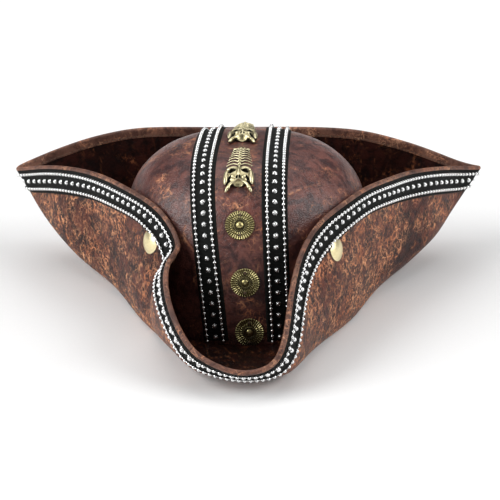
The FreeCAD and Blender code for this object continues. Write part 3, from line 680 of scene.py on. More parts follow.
class Crown:
    """The crown's outer surface as a dense grid with a little unevenness."""

    def __init__(self):
        sections = []
        for i in range(CROWN_STATIONS):
            turn = 2 * math.pi * i / CROWN_STATIONS
            row = []
            for height, wide, deep in CROWN_PROFILE:
                x = HEAD_HALF_WIDTH * wide * math.cos(turn)
                y = HEAD_HALF_DEPTH * deep * math.sin(turn)
                row.append((x, y, height))
            sections.append(row)
        surface = RingSurface(sections)
        u = np.arange(CROWN_AROUND) * surface.count / CROWN_AROUND
        v = np.linspace(0, surface.v_end, CROWN_UP)
        points = surface.points(u, v)
        normals = surface.normals(u, v)
        if (normals * points).sum() < 0:
            normals = -normals
        self.plain = points
        self.normals = normals
        self.creases = crease_mask(points, CREASE_LENGTH * 1.2, 71, 0.045)
        fade = np.clip(points[..., 2] / 12.0, 0, 1)
        dent = (0.5 + 0.5 * soft_noise(points, CROWN_DENT_LENGTH, 11)).clip(0, 1.3) * CROWN_DENT
        self.points = points - normals * ((dent + self.creases * CREASE_DEPTH) * fade)[..., None]
        self.top = self.points[:, -1].mean(0)
        self.tree = self.make_tree()

    def make_tree(self):
        verts = [Vector(point) for point in self.points.reshape(-1, 3)]
        verts.append(Vector(self.top))
        faces = grid_faces(CROWN_AROUND, CROWN_UP, True, False)
        last = CROWN_UP - 1
        for i in range(CROWN_AROUND):
            faces.append((i * CROWN_UP + last, ((i + 1) % CROWN_AROUND) * CROWN_UP + last, len(verts) - 1))
        return BVHTree.FromPolygons(verts, faces)

    def seat(self, point):
        """Nearest point of the crown and the outward normal there."""
        place, normal, _, _ = self.tree.find_nearest(Vector(point))
        if normal.dot(place - Vector((0, 0, RAY_CENTRE_HEIGHT))) < 0:
            normal = -normal
        return np.array(place), np.array(normal)

    def layer(self, inset):
        """The plain surface moved inwards, level at the base and at the flat top."""
        points = self.plain - self.normals * inset
        points[:, 0, 2] = 0.0
        points[:, -1] = self.plain[:, -1] - (0, 0, inset)
        return points

    def rows_at(self, inset, heights):
        """Sections of the plain surface moved inwards, at given heights."""
        rows = np.zeros((CROWN_AROUND, len(heights), 3))
        for i in range(CROWN_AROUND):
            z = self.plain[i, :, 2]
            rising = int(np.argmax(z > SWEATBAND_HEIGHT * 1.5))
            for k in range(3):
                moved = self.plain[i, :rising, k] - self.normals[i, :rising, k] * inset
                rows[i, :, k] = np.interp(heights, z[:rising], moved)
            rows[i, :, 2] = heights
        return rows


def dome_shell(name, outer, inner, material, attributes=None):
    """Closed layer of the crown, open at the head opening."""
    rows, columns = outer.shape[:2]
    count = rows * columns
    points = np.vstack([outer.reshape(-1, 3), inner.reshape(-1, 3),
                        outer[:, -1].mean(0), inner[:, -1].mean(0)])
    faces = grid_faces(rows, columns, True, False)
    faces += grid_faces(rows, columns, True, False, count)
    for i in range(rows):
        here, ahead = i * columns, ((i + 1) % rows) * columns
        faces.append((here, count + here, count + ahead, ahead))
        faces.append((here + columns - 1, ahead + columns - 1, 2 * count))
        faces.append((count + here + columns - 1, count + ahead + columns - 1, 2 * count + 1))
    if attributes:
        rest = np.zeros(count + 2)
        attributes = {key: np.concatenate([value.ravel(), rest]) for key, value in attributes.items()}
    made = add_object(name, points, faces, material, attributes=attributes)
    face_outwards(made)
    return made


def cut_at_seam(piece, seam, keep_left):
    """Cut a piece at a seam's plane, keep one side and close the cut."""
    normal = Vector((1, -seam["drift"], -seam["lean"])).normalized()
    place = Vector((seam["at_front"], -HEAD_HALF_DEPTH, 0)) * MM
    mesh = bmesh.new()
    mesh.from_mesh(piece.data)
    geometry = mesh.verts[:] + mesh.edges[:] + mesh.faces[:]
    cut = bmesh.ops.bisect_plane(mesh, geom=geometry, plane_co=place, plane_no=normal,
                                 clear_outer=keep_left, clear_inner=not keep_left)
    edges = [item for item in cut["geom_cut"] if isinstance(item, bmesh.types.BMEdge)]
    bmesh.ops.triangle_fill(mesh, edges=edges, use_beauty=True)
    mesh.to_mesh(piece.data)
    mesh.free()
    piece.data.set_sharp_from_angle(angle=SMOOTH_ANGLE)


def make_crown(crown, leather):
    """Three leather panels that meet under the bands."""
    inner = crown.layer(CROWN_LEATHER)
    cuts = {
        "crown_left_panel": [(LEFT_SEAM, True)],
        "crown_centre_panel": [(LEFT_SEAM, False), (RIGHT_SEAM, True)],
        "crown_right_panel": [(RIGHT_SEAM, False)],
    }
    for name, planes in cuts.items():
        piece = dome_shell(name, crown.points, inner, leather, {"wear": crown.creases})
        for seam, keep_left in planes:
            cut_at_seam(piece, seam, keep_left)
        stand_in(piece, "leather", name)


def make_lining(crown, cloth):
    """Lining with soft pleats that gather towards the top."""
    inset = CROWN_LEATHER + INTERLINING
    outer = crown.layer(inset)
    around = 2 * math.pi * np.arange(CROWN_AROUND) / CROWN_AROUND
    up = np.linspace(0, 1, CROWN_UP)
    above_band = np.clip((crown.plain[..., 2] - SWEATBAND_HEIGHT) / LINING_GATHER, 0, 1)
    drift = soft_noise(crown.plain, 90.0, 23) * 0.6
    pleat = 0.5 + 0.5 * np.cos(LINING_PLEATS * around[:, None] + 2.5 * drift)
    fall = np.clip((1 - up) / 0.08, 0, 1)
    depth = CROWN_LINING + (pleat ** 3 * PLEAT_DEPTH + 0.8 * np.abs(drift)) * above_band * fall[None, :]
    inner = outer - crown.normals * depth[..., None]
    inner[:, 0, 2] = 0.0
    piece = dome_shell("crown_lining", outer, inner, cloth)
    stand_in(piece, "lining", "crown_lining")


def make_sweatband(crown, band, thread):
    """Ribbed band inside the head opening, folded at its top and stitched below the fold."""
    outside = CROWN_LEATHER + INTERLINING + CROWN_LINING
    heights = np.linspace(0, SWEATBAND_HEIGHT, 34)
    outer = crown.rows_at(outside, heights)
    fold = 0.35 * np.exp(-((heights - SWEATBAND_HEIGHT + 1.2) / 1.2) ** 2)
    groove = -0.25 * np.exp(-((heights - SWEATBAND_HEIGHT + STITCH_BELOW_TOP) / 0.8) ** 2)
    deeper = crown.rows_at(outside + SWEATBAND, heights)
    inward = unit(deeper - outer)
    inner = deeper + inward * (fold + groove)[None, :, None]
    sections = np.concatenate([inner, outer[:, ::-1]], 1)
    piece = band_mesh("sweatband", sections, band, True)
    walked = np.arange(CROWN_AROUND) * math.pi * (HEAD_HALF_WIDTH + HEAD_HALF_DEPTH) / CROWN_AROUND
    set_uv(piece, walked, np.concatenate([heights, heights[::-1]]), 2 * len(heights))
    stand_in(piece, "sweatband", "sweatband")
    seat = crown.rows_at(outside + SWEATBAND, np.array([SWEATBAND_HEIGHT - STITCH_BELOW_TOP]))[:, 0]
    inwards = unit(-seat * (1, 1, 0))
    length = np.linalg.norm(np.diff(seat, axis=0), axis=1).sum()
    pitch = length / SWEATBAND_STITCHES
    frames = even_places(seat, inwards, pitch, True)
    stitch = rod(STITCH_DIAMETER / 2, pitch * BAND_STITCH_SHARE)
    stitches = scatter("sweatband_stitches", stitch, frames, thread)
    stand_in(stitches, "thread", "sweatband_stitches")


# ---- bands over the crown ------------------------------------------------------------------------------


def seam_path(crown, seam, steps=420):
    """Points and outward normals where a seam's plane meets the crown, from front base to back base."""
    above_brim = BRIM_CORE + 2 * BRIM_LEATHER + 0.6
    low = math.atan2(above_brim - RAY_CENTRE_HEIGHT, HEAD_HALF_DEPTH)
    start_x = seam["at_front"] + seam["lean"] * RAY_CENTRE_HEIGHT + seam["drift"] * HEAD_HALF_DEPTH
    start = Vector((start_x, 0, RAY_CENTRE_HEIGHT))
    points = []
    normals = []
    for i in range(steps + 1):
        turn = math.pi - low + (2 * low - math.pi) * i / steps
        y, z = math.cos(turn), math.sin(turn)
        ray = Vector((seam["lean"] * z + seam["drift"] * y, y, z))
        place, normal, _, _ = crown.tree.ray_cast(start, ray)
        if normal.dot(ray) < 0:
            normal = -normal
        points.append(np.array(place))
        normals.append(np.array(normal))
    normals = np.array(normals)
    for _ in range(6):
        normals[1:-1] = unit(normals[:-2] + normals[1:-1] * 2 + normals[2:])
    return np.array(points), normals


def across_path(crown, points, normals, distance, height):
    """The path moved sideways over the crown and raised off it."""
    ahead = unit(np.gradient(points, axis=0))
    side = np.cross(ahead, normals)
    seats = [crown.seat(point + way * distance) for point, way in zip(points, side)]
    places = np.array([seat for seat, _ in seats])
    outs = np.array([normal for _, normal in seats])
    for _ in range(4):
        outs[1:-1] = unit(outs[:-2] + outs[1:-1] * 2 + outs[2:])
    return places + outs * height, outs


def make_band(crown, side, seam, ribbon, silver):
    """Ribbon, two ball chains and studs that follow one seam over the crown."""
    points, normals = seam_path(crown, seam)
    across, height = ribbon_section(RIBBON_WIDTH / 2, RIBBON_THICKNESS, 21)
    outer = np.stack([across_path(crown, points, normals, a, h)[0] for a, h in zip(across, height)], 1)
    inner = np.stack([across_path(crown, points, normals, a, -0.1)[0] for a in across], 1)
    piece = band_mesh(side + "_band_ribbon", np.concatenate([outer, inner[:, ::-1]], 1), ribbon, False)
    walked = np.concatenate([[0.0], np.cumsum(np.linalg.norm(np.diff(points, axis=0), axis=1))])
    set_uv(piece, walked, np.concatenate([across, across[::-1]]), 2 * len(across))
    stand_in(piece, "ribbon", side + "_band_ribbon")
    top = RIBBON_THICKNESS * RIBBON_MIDDLE
    for name, distance in (("left", -CHAIN_FROM_CENTRE), ("right", CHAIN_FROM_CENTRE)):
        seat, outs = across_path(crown, points, normals, distance, top)
        make_chain(side + "_band_" + name + "_chain", seat, outs, False, silver)
    frames = even_places(points + normals * top, normals, STUD_PITCH, False, 0.3)
    studs = scatter(side + "_band_studs", stud_template(), frames, silver)
    stand_in(studs, "silver", side + "_band_studs")


# ---- ornaments -----------------------------------------------------------------------------------------


def seat_frame(position, normal, up):
    """Frame for one ornament: +Z out of the hat and +Y as near up as it goes."""
    right = unit(np.cross(up, normal))
    return position[None], right[None], np.cross(normal, right)[None], normal[None]


def concho_template():
    """Stamped disc: domed boss, raised ring, short inner rays and beaded outer rays."""
    around = CONCHO_AROUND
    outwards = CONCHO_OUTWARDS
    radius = CONCHO_DIAMETER / 2
    hole_at = radius * CONCHO_HOLE_SHARE
    turn = 2 * math.pi * np.arange(around)[:, None] / around
    share = np.linspace(0.02, 1, outwards)[None, :]
    outer_ray = 0.5 + 0.5 * np.cos(CONCHO_RAYS * turn)
    inner_ray = 0.5 + 0.5 * np.cos(CONCHO_INNER_RAYS * turn)
    reach = radius - 0.45 * (1 - outer_ray) * share ** 6
    distance = share * reach

    def hump(middle, width):
        return np.exp(-((share - middle) / width) ** 2)

    def between(low, high):
        return np.clip((share - low) / 0.03, 0, 1) * np.clip((high - share) / 0.03, 0, 1)

    height = 0.55 + 0.15 * (1 - share ** 2) + 0 * turn
    height = height + between(0.66, 0.985) * outer_ray ** 1.4 * 0.55
    height = height + hump(0.93, 0.04) * outer_ray * 0.3
    height = height + between(0.45, 0.63) * inner_ray ** 1.4 * 0.5
    height = height + hump(0.62, 0.03) * inner_ray * 0.25
    height = height + hump(0.40, 0.028) * 0.95
    height = height + np.clip(1 - (share / 0.27) ** 2, 0, 1) ** 0.6 * 1.75
    height = height * np.clip((1.0 - share) / 0.02, 0.35, 1)
    x = distance * np.sin(turn)
    y = distance * np.cos(turn)
    for hole in (-hole_at, hole_at):
        away = np.hypot(x, y - hole)
        height = np.where(away < 0.85, 0.12, height + 0.25 * np.exp(-((away - 1.15) / 0.3) ** 2))
    top = np.stack([x, y, height], -1)
    points = np.vstack([top.reshape(-1, 3), np.stack([x[:, -1], y[:, -1], 0 * x[:, -1]], -1)])
    faces = [tuple(reversed(face)) for face in grid_faces(around, outwards, True, False)]
    faces.append(tuple(i * outwards for i in range(around - 1, -1, -1)))
    base = around * outwards
    for i in range(around):
        n = (i + 1) % around
        faces.append((i * outwards + outwards - 1, n * outwards + outwards - 1, base + n, base + i))
    faces.append(tuple(base + i for i in range(around)))
    return points, faces


def make_conchos(crown, brass):
    template = concho_template()
    sideways, in_front, slope = CONCHO_LOOK
    for name, (x, height) in CONCHOS.items():
        position, normal = crown.seat((x * sideways, in_front + slope * height, height))
        frames = seat_frame(position + normal * SEAT_GAP, normal, np.array([0.0, 0.0, 1.0]))
        piece = scatter(name, template, frames, brass)
        face_outwards(piece)
        stand_in(piece, "antique_brass", name)


def blob(mesh, centre, radii, tilt=0.0):
    """Ellipsoid of the charm, turned in its own plane by tilt degrees."""
    made = bmesh.ops.create_uvsphere(mesh, u_segments=28, v_segments=18, radius=1.0)
    cos, sin = math.cos(math.radians(tilt)), math.sin(math.radians(tilt))
    for vert in made["verts"]:
        x, y, z = vert.co.x * radii[0], vert.co.y * radii[1], vert.co.z * radii[2]
        vert.co = Vector((centre[0] + x * cos - y * sin, centre[1] + x * sin + y * cos, centre[2] + z))


def bead_row(mesh, points, start_radius, end_radius):
    """Row of overlapping small balls along a polyline, for ribs and rings."""
    points = np.array(points, float)
    walked = np.concatenate([[0.0], np.cumsum(np.linalg.norm(np.diff(points, axis=0), axis=1))])
    count = max(2, int(walked[-1] / BEAD_PITCH))
    for at in np.linspace(0, walked[-1], count):
        share = at / walked[-1]
        radius = start_radius + (end_radius - start_radius) * share
        centre = sample_path(walked, points, np.array([at]))[0]
        made = bmesh.ops.create_icosphere(mesh, subdivisions=2, radius=radius)
        bmesh.ops.translate(mesh, verts=made["verts"], vec=Vector(centre))


def charm_shapes(mesh):
    """Skull with its mouth down, a spine above it with seven pairs of ribs, and a sewing eyelet."""
    blob(mesh, (0, -9.0, 0.5), (10.4, 8.8, 6.3))
    for side in (-1, 1):
        blob(mesh, (side * 4.9, -3.8, 4.2), (4.6, 2.3, 2.2), side * -14)
        blob(mesh, (side * 9.4, -10.6, 2.6), (2.3, 7.0, 3.2), side * 6)
        blob(mesh, (side * 8.0, -19.2, 1.8), (1.5, 4.6, 2.2), side * 26)
        blob(mesh, (side * 4.4, -12.2, 4.8), (2.3, 1.3, 2.0), side * 38)
        blob(mesh, (side * 4.8, EYELET_AT - 2.5, 1.2), (1.7, 1.4, 1.2))
    blob(mesh, (0, -8.4, 6.0), (1.4, 3.8, 2.0))
    jaw = [(7.4 * math.sin(a), -19.8 + 5.2 * math.cos(a), 3.4) for a in np.linspace(-1.55, 1.55, 17)]
    bead_row(mesh, jaw, 1.2, 1.2)
    bead_row(mesh, [(0, -3, 2.6), (0, EYELET_AT - 2, 2.0)], 1.0, 1.0)
    for i in range(RIB_PAIRS):
        y = RIB_START + i * RIB_PITCH
        reach = 9.6 - i * 0.55
        blob(mesh, (0, y, 2.9), (1.5, 1.2, 1.5))
        for side in (-1, 1):
            rib = [(side * 0.9, y - 0.9, 3.0), (side * reach * 0.4, y + 0.5, 3.0),
                   (side * reach * 0.75, y + 0.7, 2.2), (side * reach, y + 0.2, 1.0)]
            bead_row(mesh, rib, 0.62, 0.5)
    ring = [(2.1 * math.sin(a), EYELET_AT + 2.1 * math.cos(a), 1.2) for a in np.linspace(0, 2 * math.pi, 20)]
    bead_row(mesh, ring, 0.85, 0.85)


def hollow(points, centre, radii, tilt=0.0):
    """Press the points inside an ellipsoid down to its floor."""
    cos, sin = math.cos(math.radians(tilt)), math.sin(math.radians(tilt))
    dx = points[:, 0] - centre[0]
    dy = points[:, 1] - centre[1]
    x = (dx * cos + dy * sin) / radii[0]
    y = (-dx * sin + dy * cos) / radii[1]
    inside = np.clip(1 - x * x - y * y, 0, 1)
    floor = centre[2] - radii[2] * np.sqrt(inside)
    pressed = np.minimum(points[:, 2], np.maximum(floor, CHARM_FLOOR))
    points[:, 2] = np.where(inside > 0, pressed, points[:, 2])


def charm_template():
    """Points and faces of the cast charm, remeshed into one skin and then hollowed."""
    mesh = bmesh.new()
    charm_shapes(mesh)
    data = bpy.data.meshes.new("charm_source")
    mesh.to_mesh(data)
    mesh.free()
    source = bpy.data.objects.new("charm_source", data)
    bpy.context.scene.collection.objects.link(source)
    remesh = source.modifiers.new("skin", "REMESH")
    remesh.mode = "VOXEL"
    remesh.voxel_size = CHARM_VOXEL
    smooth = source.modifiers.new("soften", "SMOOTH")
    smooth.factor = 0.5
    smooth.iterations = 2
    bpy.context.view_layer.update()
    skin = source.evaluated_get(bpy.context.evaluated_depsgraph_get()).to_mesh()
    points = np.array([vert.co for vert in skin.vertices])
    faces = [tuple(face.vertices) for face in skin.polygons]
    source.evaluated_get(bpy.context.evaluated_depsgraph_get()).to_mesh_clear()
    bpy.data.objects.remove(source)
    bpy.data.meshes.remove(data)
    points[:, 2] = np.maximum(points[:, 2], 0.0)
    for side in (-1, 1):
        hollow(points, (side * 4.9, -6.9, 6.4), (3.1, 1.9, 4.4), side * -14)
        hollow(points, (side * 1.1, -12.6, 6.2), (0.7, 1.3, 2.4), side * 12)
        hollow(points, (side * 6.9, -13.2, 5.0), (1.0, 2.6, 2.4), side * 24)
    hollow(points, (0, -20.4, 5.6), (6.1, 6.0, 5.6))
    return points, faces


def walk_frames(crown, start):
    """Seats, normals and sideways axes every millimetre along the crown from a charm's start."""
    first, out = crown.seat((start[0], start[1], CROWN_HEIGHT))
    passed = {}
    for way in (-1, 1):
        position, normal = first, out
        reach = CHARM_TO if way > 0 else -CHARM_FROM
        for step in range(int(reach) + 1):
            passed[way * step] = (position, normal)
            ahead = unit(CHARM_HEADING - normal * CHARM_HEADING.dot(normal))
            position, normal = crown.seat(position + ahead * way)
    distances = np.array(sorted(passed), float)
    seats = np.array([passed[int(d)][0] for d in distances])
    normals = np.array([passed[int(d)][1] for d in distances])
    for _ in range(12):
        normals[1:-1] = unit(normals[:-2] + normals[1:-1] + normals[2:])
    return distances, seats, normals, unit(np.cross(CHARM_HEADING, normals))


def make_charms(crown, brass):
    """Two castings of one pattern, each curved to the crown where it is sewn."""
    points, faces = charm_template()
    for name, start in CHARMS.items():
        distances, seats, normals, sides = walk_frames(crown, start)
        seat = sample_path(distances, seats, points[:, 1])
        out = unit(sample_path(distances, normals, points[:, 1]))
        side = unit(sample_path(distances, sides, points[:, 1]))
        placed = seat + side * points[:, 0:1] + out * (points[:, 2:3] + SEAT_GAP)
        piece = add_object(name, placed, faces, brass)
        stand_in(piece, "antique_brass", name)


# ---- materials -----------------------------------------------------------------------------------------


class Shader:
    """One material and short calls for its nodes."""

    def __init__(self, name, **settings):
        self.material = bpy.data.materials.new(name)
        self.material.use_nodes = True
        self.tree = self.material.node_tree
        self.surface = self.tree.nodes["Principled BSDF"]
        self.place = self.node("ShaderNodeTexCoord").outputs["Object"]
        for socket, value in settings.items():
            self.surface.inputs[socket.replace("_", " ")].default_value = value

    def node(self, kind, inputs=None, **settings):
        made = self.tree.nodes.new(kind)
        for key, value in settings.items():
            setattr(made, key, value)
        for key, value in (inputs or {}).items():
            if isinstance(value, bpy.types.NodeSocket):
                self.tree.links.new(value, made.inputs[key])
            else:
                made.inputs[key].default_value = value
        return made

    def noise(self, scale, detail=3.0, roughness=0.5, distortion=0.0, at=None):
        made = self.node("ShaderNodeTexNoise", {
            "Vector": at or self.place, "Scale": scale, "Detail": detail, "Roughness": roughness,
            "Distortion": distortion})
        return made.outputs["Fac"]

    def cells(self, scale, feature, at):
        made = self.node("ShaderNodeTexVoronoi", {"Vector": at, "Scale": scale}, feature=feature)
        return made.outputs["Distance"]

    def bend(self, scale, amount):
        """Coordinates shifted by noise."""
        made = self.node("ShaderNodeTexNoise", {"Vector": self.place, "Scale": scale, "Detail": 2.0})
        centred = self.vector("SUBTRACT", made.outputs["Color"], (0.5, 0.5, 0.5))
        shift = self.node("ShaderNodeVectorMath", {0: centred, "Scale": amount}, operation="SCALE").outputs[0]
        return self.vector("ADD", self.place, shift)

    def vector(self, operation, a, b):
        return self.node("ShaderNodeVectorMath", {0: a, 1: b}, operation=operation).outputs[0]

    def math(self, operation, a, b=0.0):
        return self.node("ShaderNodeMath", {0: a, 1: b}, operation=operation).outputs[0]

    def between(self, value, low, high, to_low=0.0, to_high=1.0):
        """Smooth step from low to high."""
        made = self.node("ShaderNodeMapRange", {
            "Value": value, "From Min": low, "From Max": high, "To Min": to_low, "To Max": to_high},
            interpolation_type="SMOOTHSTEP")
        return made.outputs["Result"]

    def mix(self, share, a, b):
        made = self.node("ShaderNodeMix", {0: share, 6: a, 7: b}, data_type="RGBA")
        return made.outputs[2]

    def attribute(self, name):
        return self.node("ShaderNodeAttribute", attribute_name=name).outputs["Fac"]

    def bump(self, height, distance, strength=1.0):
        inputs = {"Height": height, "Distance": distance, "Strength": strength}
        return self.node("ShaderNodeBump", inputs).outputs["Normal"]

    def use(self, **links):
        for socket, value in links.items():
            self.tree.links.new(value, self.surface.inputs[socket.replace("_", " ")])
        return self.material


def colour(red, green, blue):
    return (red, green, blue, 1.0)


def leather_material(name, dark, middle, scuff, scuffing, shine, rough_low, rough_high):
    """Worn leather: a mottled ground, a crackle of pale scuffs in patches, and fine grain."""
    shader = Shader(name, Specular_IOR_Level=shine)
    large = shader.noise(26.0, 3.0, 0.6, 0.6)
    mottle = shader.noise(110.0, 4.0, 0.65, 0.4)
    ground = shader.mix(shader.between(mottle, 0.36, 0.62), colour(*dark), colour(*middle))
    ground = shader.mix(shader.between(large, 0.42, 0.66, 0.0, 0.55), ground, colour(*dark))

    wide = shader.cells(125.0, "DISTANCE_TO_EDGE", shader.bend(170.0, 0.0050))
    narrow = shader.cells(330.0, "DISTANCE_TO_EDGE", shader.bend(380.0, 0.0022))
    wide_lines = shader.between(wide, 0.01, 0.075, 1.0, 0.0)
    narrow_lines = shader.between(narrow, 0.02, 0.12, 1.0, 0.0)
    fibres = shader.between(shader.noise(260.0, 4.0, 0.7, 1.5), 0.56, 0.68)
    lines = shader.math("MAXIMUM", wide_lines, shader.math("MULTIPLY", narrow_lines, 0.7))
    lines = shader.math("MAXIMUM", lines, shader.math("MULTIPLY", fibres, 0.55))
    patches = shader.between(shader.noise(34.0, 4.0, 0.65, 1.0, at=shader.bend(12.0, 0.02)),
                             0.62 - 0.24 * scuffing, 0.78 - 0.2 * scuffing)
    breakup = shader.between(shader.noise(300.0, 3.0, 0.6), 0.38, 0.56)
    scuffed = shader.math("MULTIPLY", shader.math("MULTIPLY", lines, patches), breakup)
    worn = shader.math("MULTIPLY", shader.attribute("wear"), breakup)
    scuffed = shader.math("MAXIMUM", scuffed, shader.math("MULTIPLY", worn, 0.8))
    tint = shader.mix(shader.between(shader.noise(60.0, 2.0), 0.35, 0.65), colour(*scuff),
                      colour(scuff[0] * 0.75, scuff[1] * 0.6, scuff[2] * 0.55))
    face = shader.mix(scuffed, ground, tint)

    grain = shader.cells(950.0, "F1", shader.bend(500.0, 0.0008))
    height = shader.math("ADD", shader.math("MULTIPLY", grain, 0.5), shader.math("MULTIPLY", lines, -0.35))
    height = shader.math("ADD", height, shader.math("MULTIPLY", mottle, 0.9))
    rough = shader.between(scuffed, 0.0, 1.0, rough_low, rough_high)
    return shader.use(Base_Color=face, Roughness=rough, Normal=shader.bump(height, 0.00035, 0.9))


def ribbon_material():
    """Black woven braid: ribs across the ribbon and a fine herringbone between them."""
    shader = Shader("woven_ribbon", Specular_IOR_Level=0.22)
    uv = shader.node("ShaderNodeTexCoord").outputs["UV"]
    parts = shader.node("ShaderNodeSeparateXYZ", {0: uv}).outputs
    along = shader.math("MULTIPLY", parts[0], 2 * math.pi / 0.0011)
    across = shader.math("MULTIPLY", parts[1], 2 * math.pi / 0.0016)
    bent = shader.math("MULTIPLY", shader.math("SINE", across), 0.9)
    ribs = shader.math("SINE", shader.math("ADD", along, bent))
    threads = shader.math("SINE", shader.math("MULTIPLY", across, 2.0))
    weave = shader.math("ADD", shader.math("MULTIPLY", ribs, 0.5), shader.math("MULTIPLY", threads, 0.3))
    fuzz = shader.noise(1800.0, 3.0, 0.6)
    height = shader.math("ADD", weave, shader.math("MULTIPLY", fuzz, 0.7))
    tone = shader.mix(shader.between(weave, -0.6, 0.8),
                      colour(0.0025, 0.003, 0.0025), colour(0.012, 0.013, 0.012))
    rough = shader.between(fuzz, 0.3, 0.7, 0.62, 0.9)
    return shader.use(Base_Color=tone, Roughness=rough, Normal=shader.bump(height, 0.00025))


def silver_material():
    """Polished plated beads with faint handling marks."""
    shader = Shader("polished_silver", Metallic=1.0)
    marks = shader.noise(700.0, 3.0, 0.6)
    tone = shader.mix(shader.between(marks, 0.3, 0.7), colour(0.78, 0.79, 0.80), colour(0.95, 0.95, 0.94))
    rough = shader.between(marks, 0.3, 0.7, 0.12, 0.26)
    return shader.use(Base_Color=tone, Roughness=rough, Normal=shader.bump(marks, 0.00003, 0.5))


def antique_brass_material(name, bright, dull):
    """Cast brass, bright where it is rubbed, with dark matt patina and painted shade in its hollows, found by
    ambient occlusion.
    """
    shader = Shader(name)
    edge = shader.node("ShaderNodeNewGeometry").outputs["Pointiness"]
    spots = shader.noise(900.0, 4.0, 0.65)
    rubbed = shader.between(shader.math("ADD", edge, shader.math("MULTIPLY", spots, 0.06)), 0.5, 0.565)
    # Ambient occlusion finds the hollows; there the colour turns near black and matt, partly antique patina
    # and partly painted shade.
    openness = shader.node("ShaderNodeAmbientOcclusion", {"Distance": 0.006}, samples=8).outputs["AO"]
    clear_of_patina_and_shade = shader.between(openness, 0.58, 0.96)
    tone = shader.mix(rubbed, colour(*dull), colour(*bright))
    tone = shader.mix(clear_of_patina_and_shade, colour(0.014, 0.010, 0.006), tone)
    rough = shader.between(spots, 0.3, 0.7, 0.26, 0.44)
    return shader.use(Base_Color=tone, Metallic=shader.between(clear_of_patina_and_shade, 0.0, 0.5), Roughness=rough,
                      Normal=shader.bump(spots, 0.00008, 0.6))


def pale_brass_material():
    """Smooth rivet caps with fine brushing and a little dulling."""
    shader = Shader("pale_brass", Metallic=1.0)
    stretched = shader.vector("MULTIPLY", shader.place, (1.0, 1.0, 14.0))
    brushing = shader.noise(260.0, 4.0, 0.6, at=stretched)
    tone = shader.mix(shader.between(brushing, 0.3, 0.7), colour(0.78, 0.66, 0.36), colour(0.92, 0.82, 0.52))
    rough = shader.between(brushing, 0.3, 0.7, 0.3, 0.42)
    return shader.use(Base_Color=tone, Roughness=rough, Normal=shader.bump(brushing, 0.00002, 0.4))


def cloth_material(name, low, high, pitch, roughness):
    """Plain weave on any surface, from two crossed fine waves in the object's own coordinates."""
    shader = Shader(name, Roughness=roughness, Sheen_Weight=0.2)
    parts = shader.node("ShaderNodeSeparateXYZ", {0: shader.place}).outputs
    turn = 2 * math.pi / pitch
    first = shader.math("SINE", shader.math("MULTIPLY", shader.math("ADD", parts[0], parts[1]), turn))
    second = shader.math("SINE", shader.math("MULTIPLY", parts[2], turn))
    weave = shader.math("ADD", shader.math("MULTIPLY", first, 0.5), shader.math("MULTIPLY", second, 0.5))
    fuzz = shader.noise(60.0, 4.0, 0.6)
    share = shader.math("ADD", shader.between(weave, -0.8, 0.8, 0.0, 0.6), shader.math("MULTIPLY", fuzz, 0.5))
    tone = shader.mix(share, colour(*low), colour(*high))
    return shader.use(Base_Color=tone, Normal=shader.bump(weave, 0.00012))


def ribbed_material():
    """Sweatband of ribbed tape."""
    shader = Shader("sweatband_tape", Roughness=0.8, Sheen_Weight=0.15)
    uv = shader.node("ShaderNodeTexCoord").outputs["UV"]
    parts = shader.node("ShaderNodeSeparateXYZ", {0: uv}).outputs
    ribs = shader.math("SINE", shader.math("MULTIPLY", parts[0], 2 * math.pi / 0.0013))
    fuzz = shader.noise(900.0, 3.0, 0.6)
    tone = shader.mix(shader.between(ribs, -1.0, 1.0), colour(0.018, 0.014, 0.012), colour(0.05, 0.04, 0.034))
    height = shader.math("ADD", ribs, fuzz)
    return shader.use(Base_Color=tone, Normal=shader.bump(height, 0.0002))


def thread_material():
    """Twisted thread."""
    shader = Shader("thread", Roughness=0.7)
    twist = shader.noise(2600.0, 2.0, 0.5)
    tone = shader.mix(twist, colour(0.05, 0.028, 0.018), colour(0.2, 0.12, 0.075))
    return shader.use(Base_Color=tone, Normal=shader.bump(twist, 0.0001))


def finish_node(node, material):
    """Give a carried-over CAD piece a better material."""
    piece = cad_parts[node]
    for slot in piece.material_slots:
        slot.material = material


# ---- set, light and camera -----------------------------------------------------------------------------


def make_floor():
    """Large pale floor under the hat."""
    half = FLOOR_HALF
    below = cad_box[0][2] / MM - FLOOR_DROP
    shader = Shader("pale_floor", Roughness=0.85)
    speckle = shader.noise(400.0, 2.0)
    tone = shader.mix(speckle, colour(0.90, 0.90, 0.90), colour(0.93, 0.93, 0.93))
    corners = [(-half, -half, below), (half, -half, below), (half, half, below), (-half, half, below)]
    floor = add_object("floor", corners, [(0, 1, 2, 3)], shader.use(Base_Color=tone))


def add_sky_light(name, towards, spread, strength):
    """Soft light from one side of the room, the same all over the floor."""
    data = bpy.data.lights.new(name, "SUN")
    data.energy = strength
    data.angle = math.radians(spread)
    light = bpy.data.objects.new(name, data)
    light.rotation_euler = (-Vector(towards)).to_track_quat("-Z", "Y").to_euler()
    bpy.context.scene.collection.objects.link(light)


def make_lights():
    for name, (towards, spread, strength) in LIGHTS.items():
        add_sky_light(name, towards, spread, strength)
    world = bpy.data.worlds.new("pale_room")
    world.use_nodes = True
    tree = world.node_tree
    room = tree.nodes["Background"]
    room.inputs["Strength"].default_value = ROOM_LIGHT
    room.inputs["Color"].default_value = colour(1.0, 1.0, 1.0)
    backdrop = tree.nodes.new("ShaderNodeBackground")
    backdrop.inputs["Color"].default_value = colour(1.0, 1.0, 1.0)
    choose = tree.nodes.new("ShaderNodeMixShader")
    tree.links.new(tree.nodes.new("ShaderNodeLightPath").outputs["Is Camera Ray"], choose.inputs[0])
    tree.links.new(room.outputs[0], choose.inputs[1])
    tree.links.new(backdrop.outputs[0], choose.inputs[2])
    tree.links.new(choose.outputs[0], tree.nodes["World Output"].inputs["Surface"])
    bpy.context.scene.world = world
    bpy.context.scene.view_settings.view_transform = "Standard"


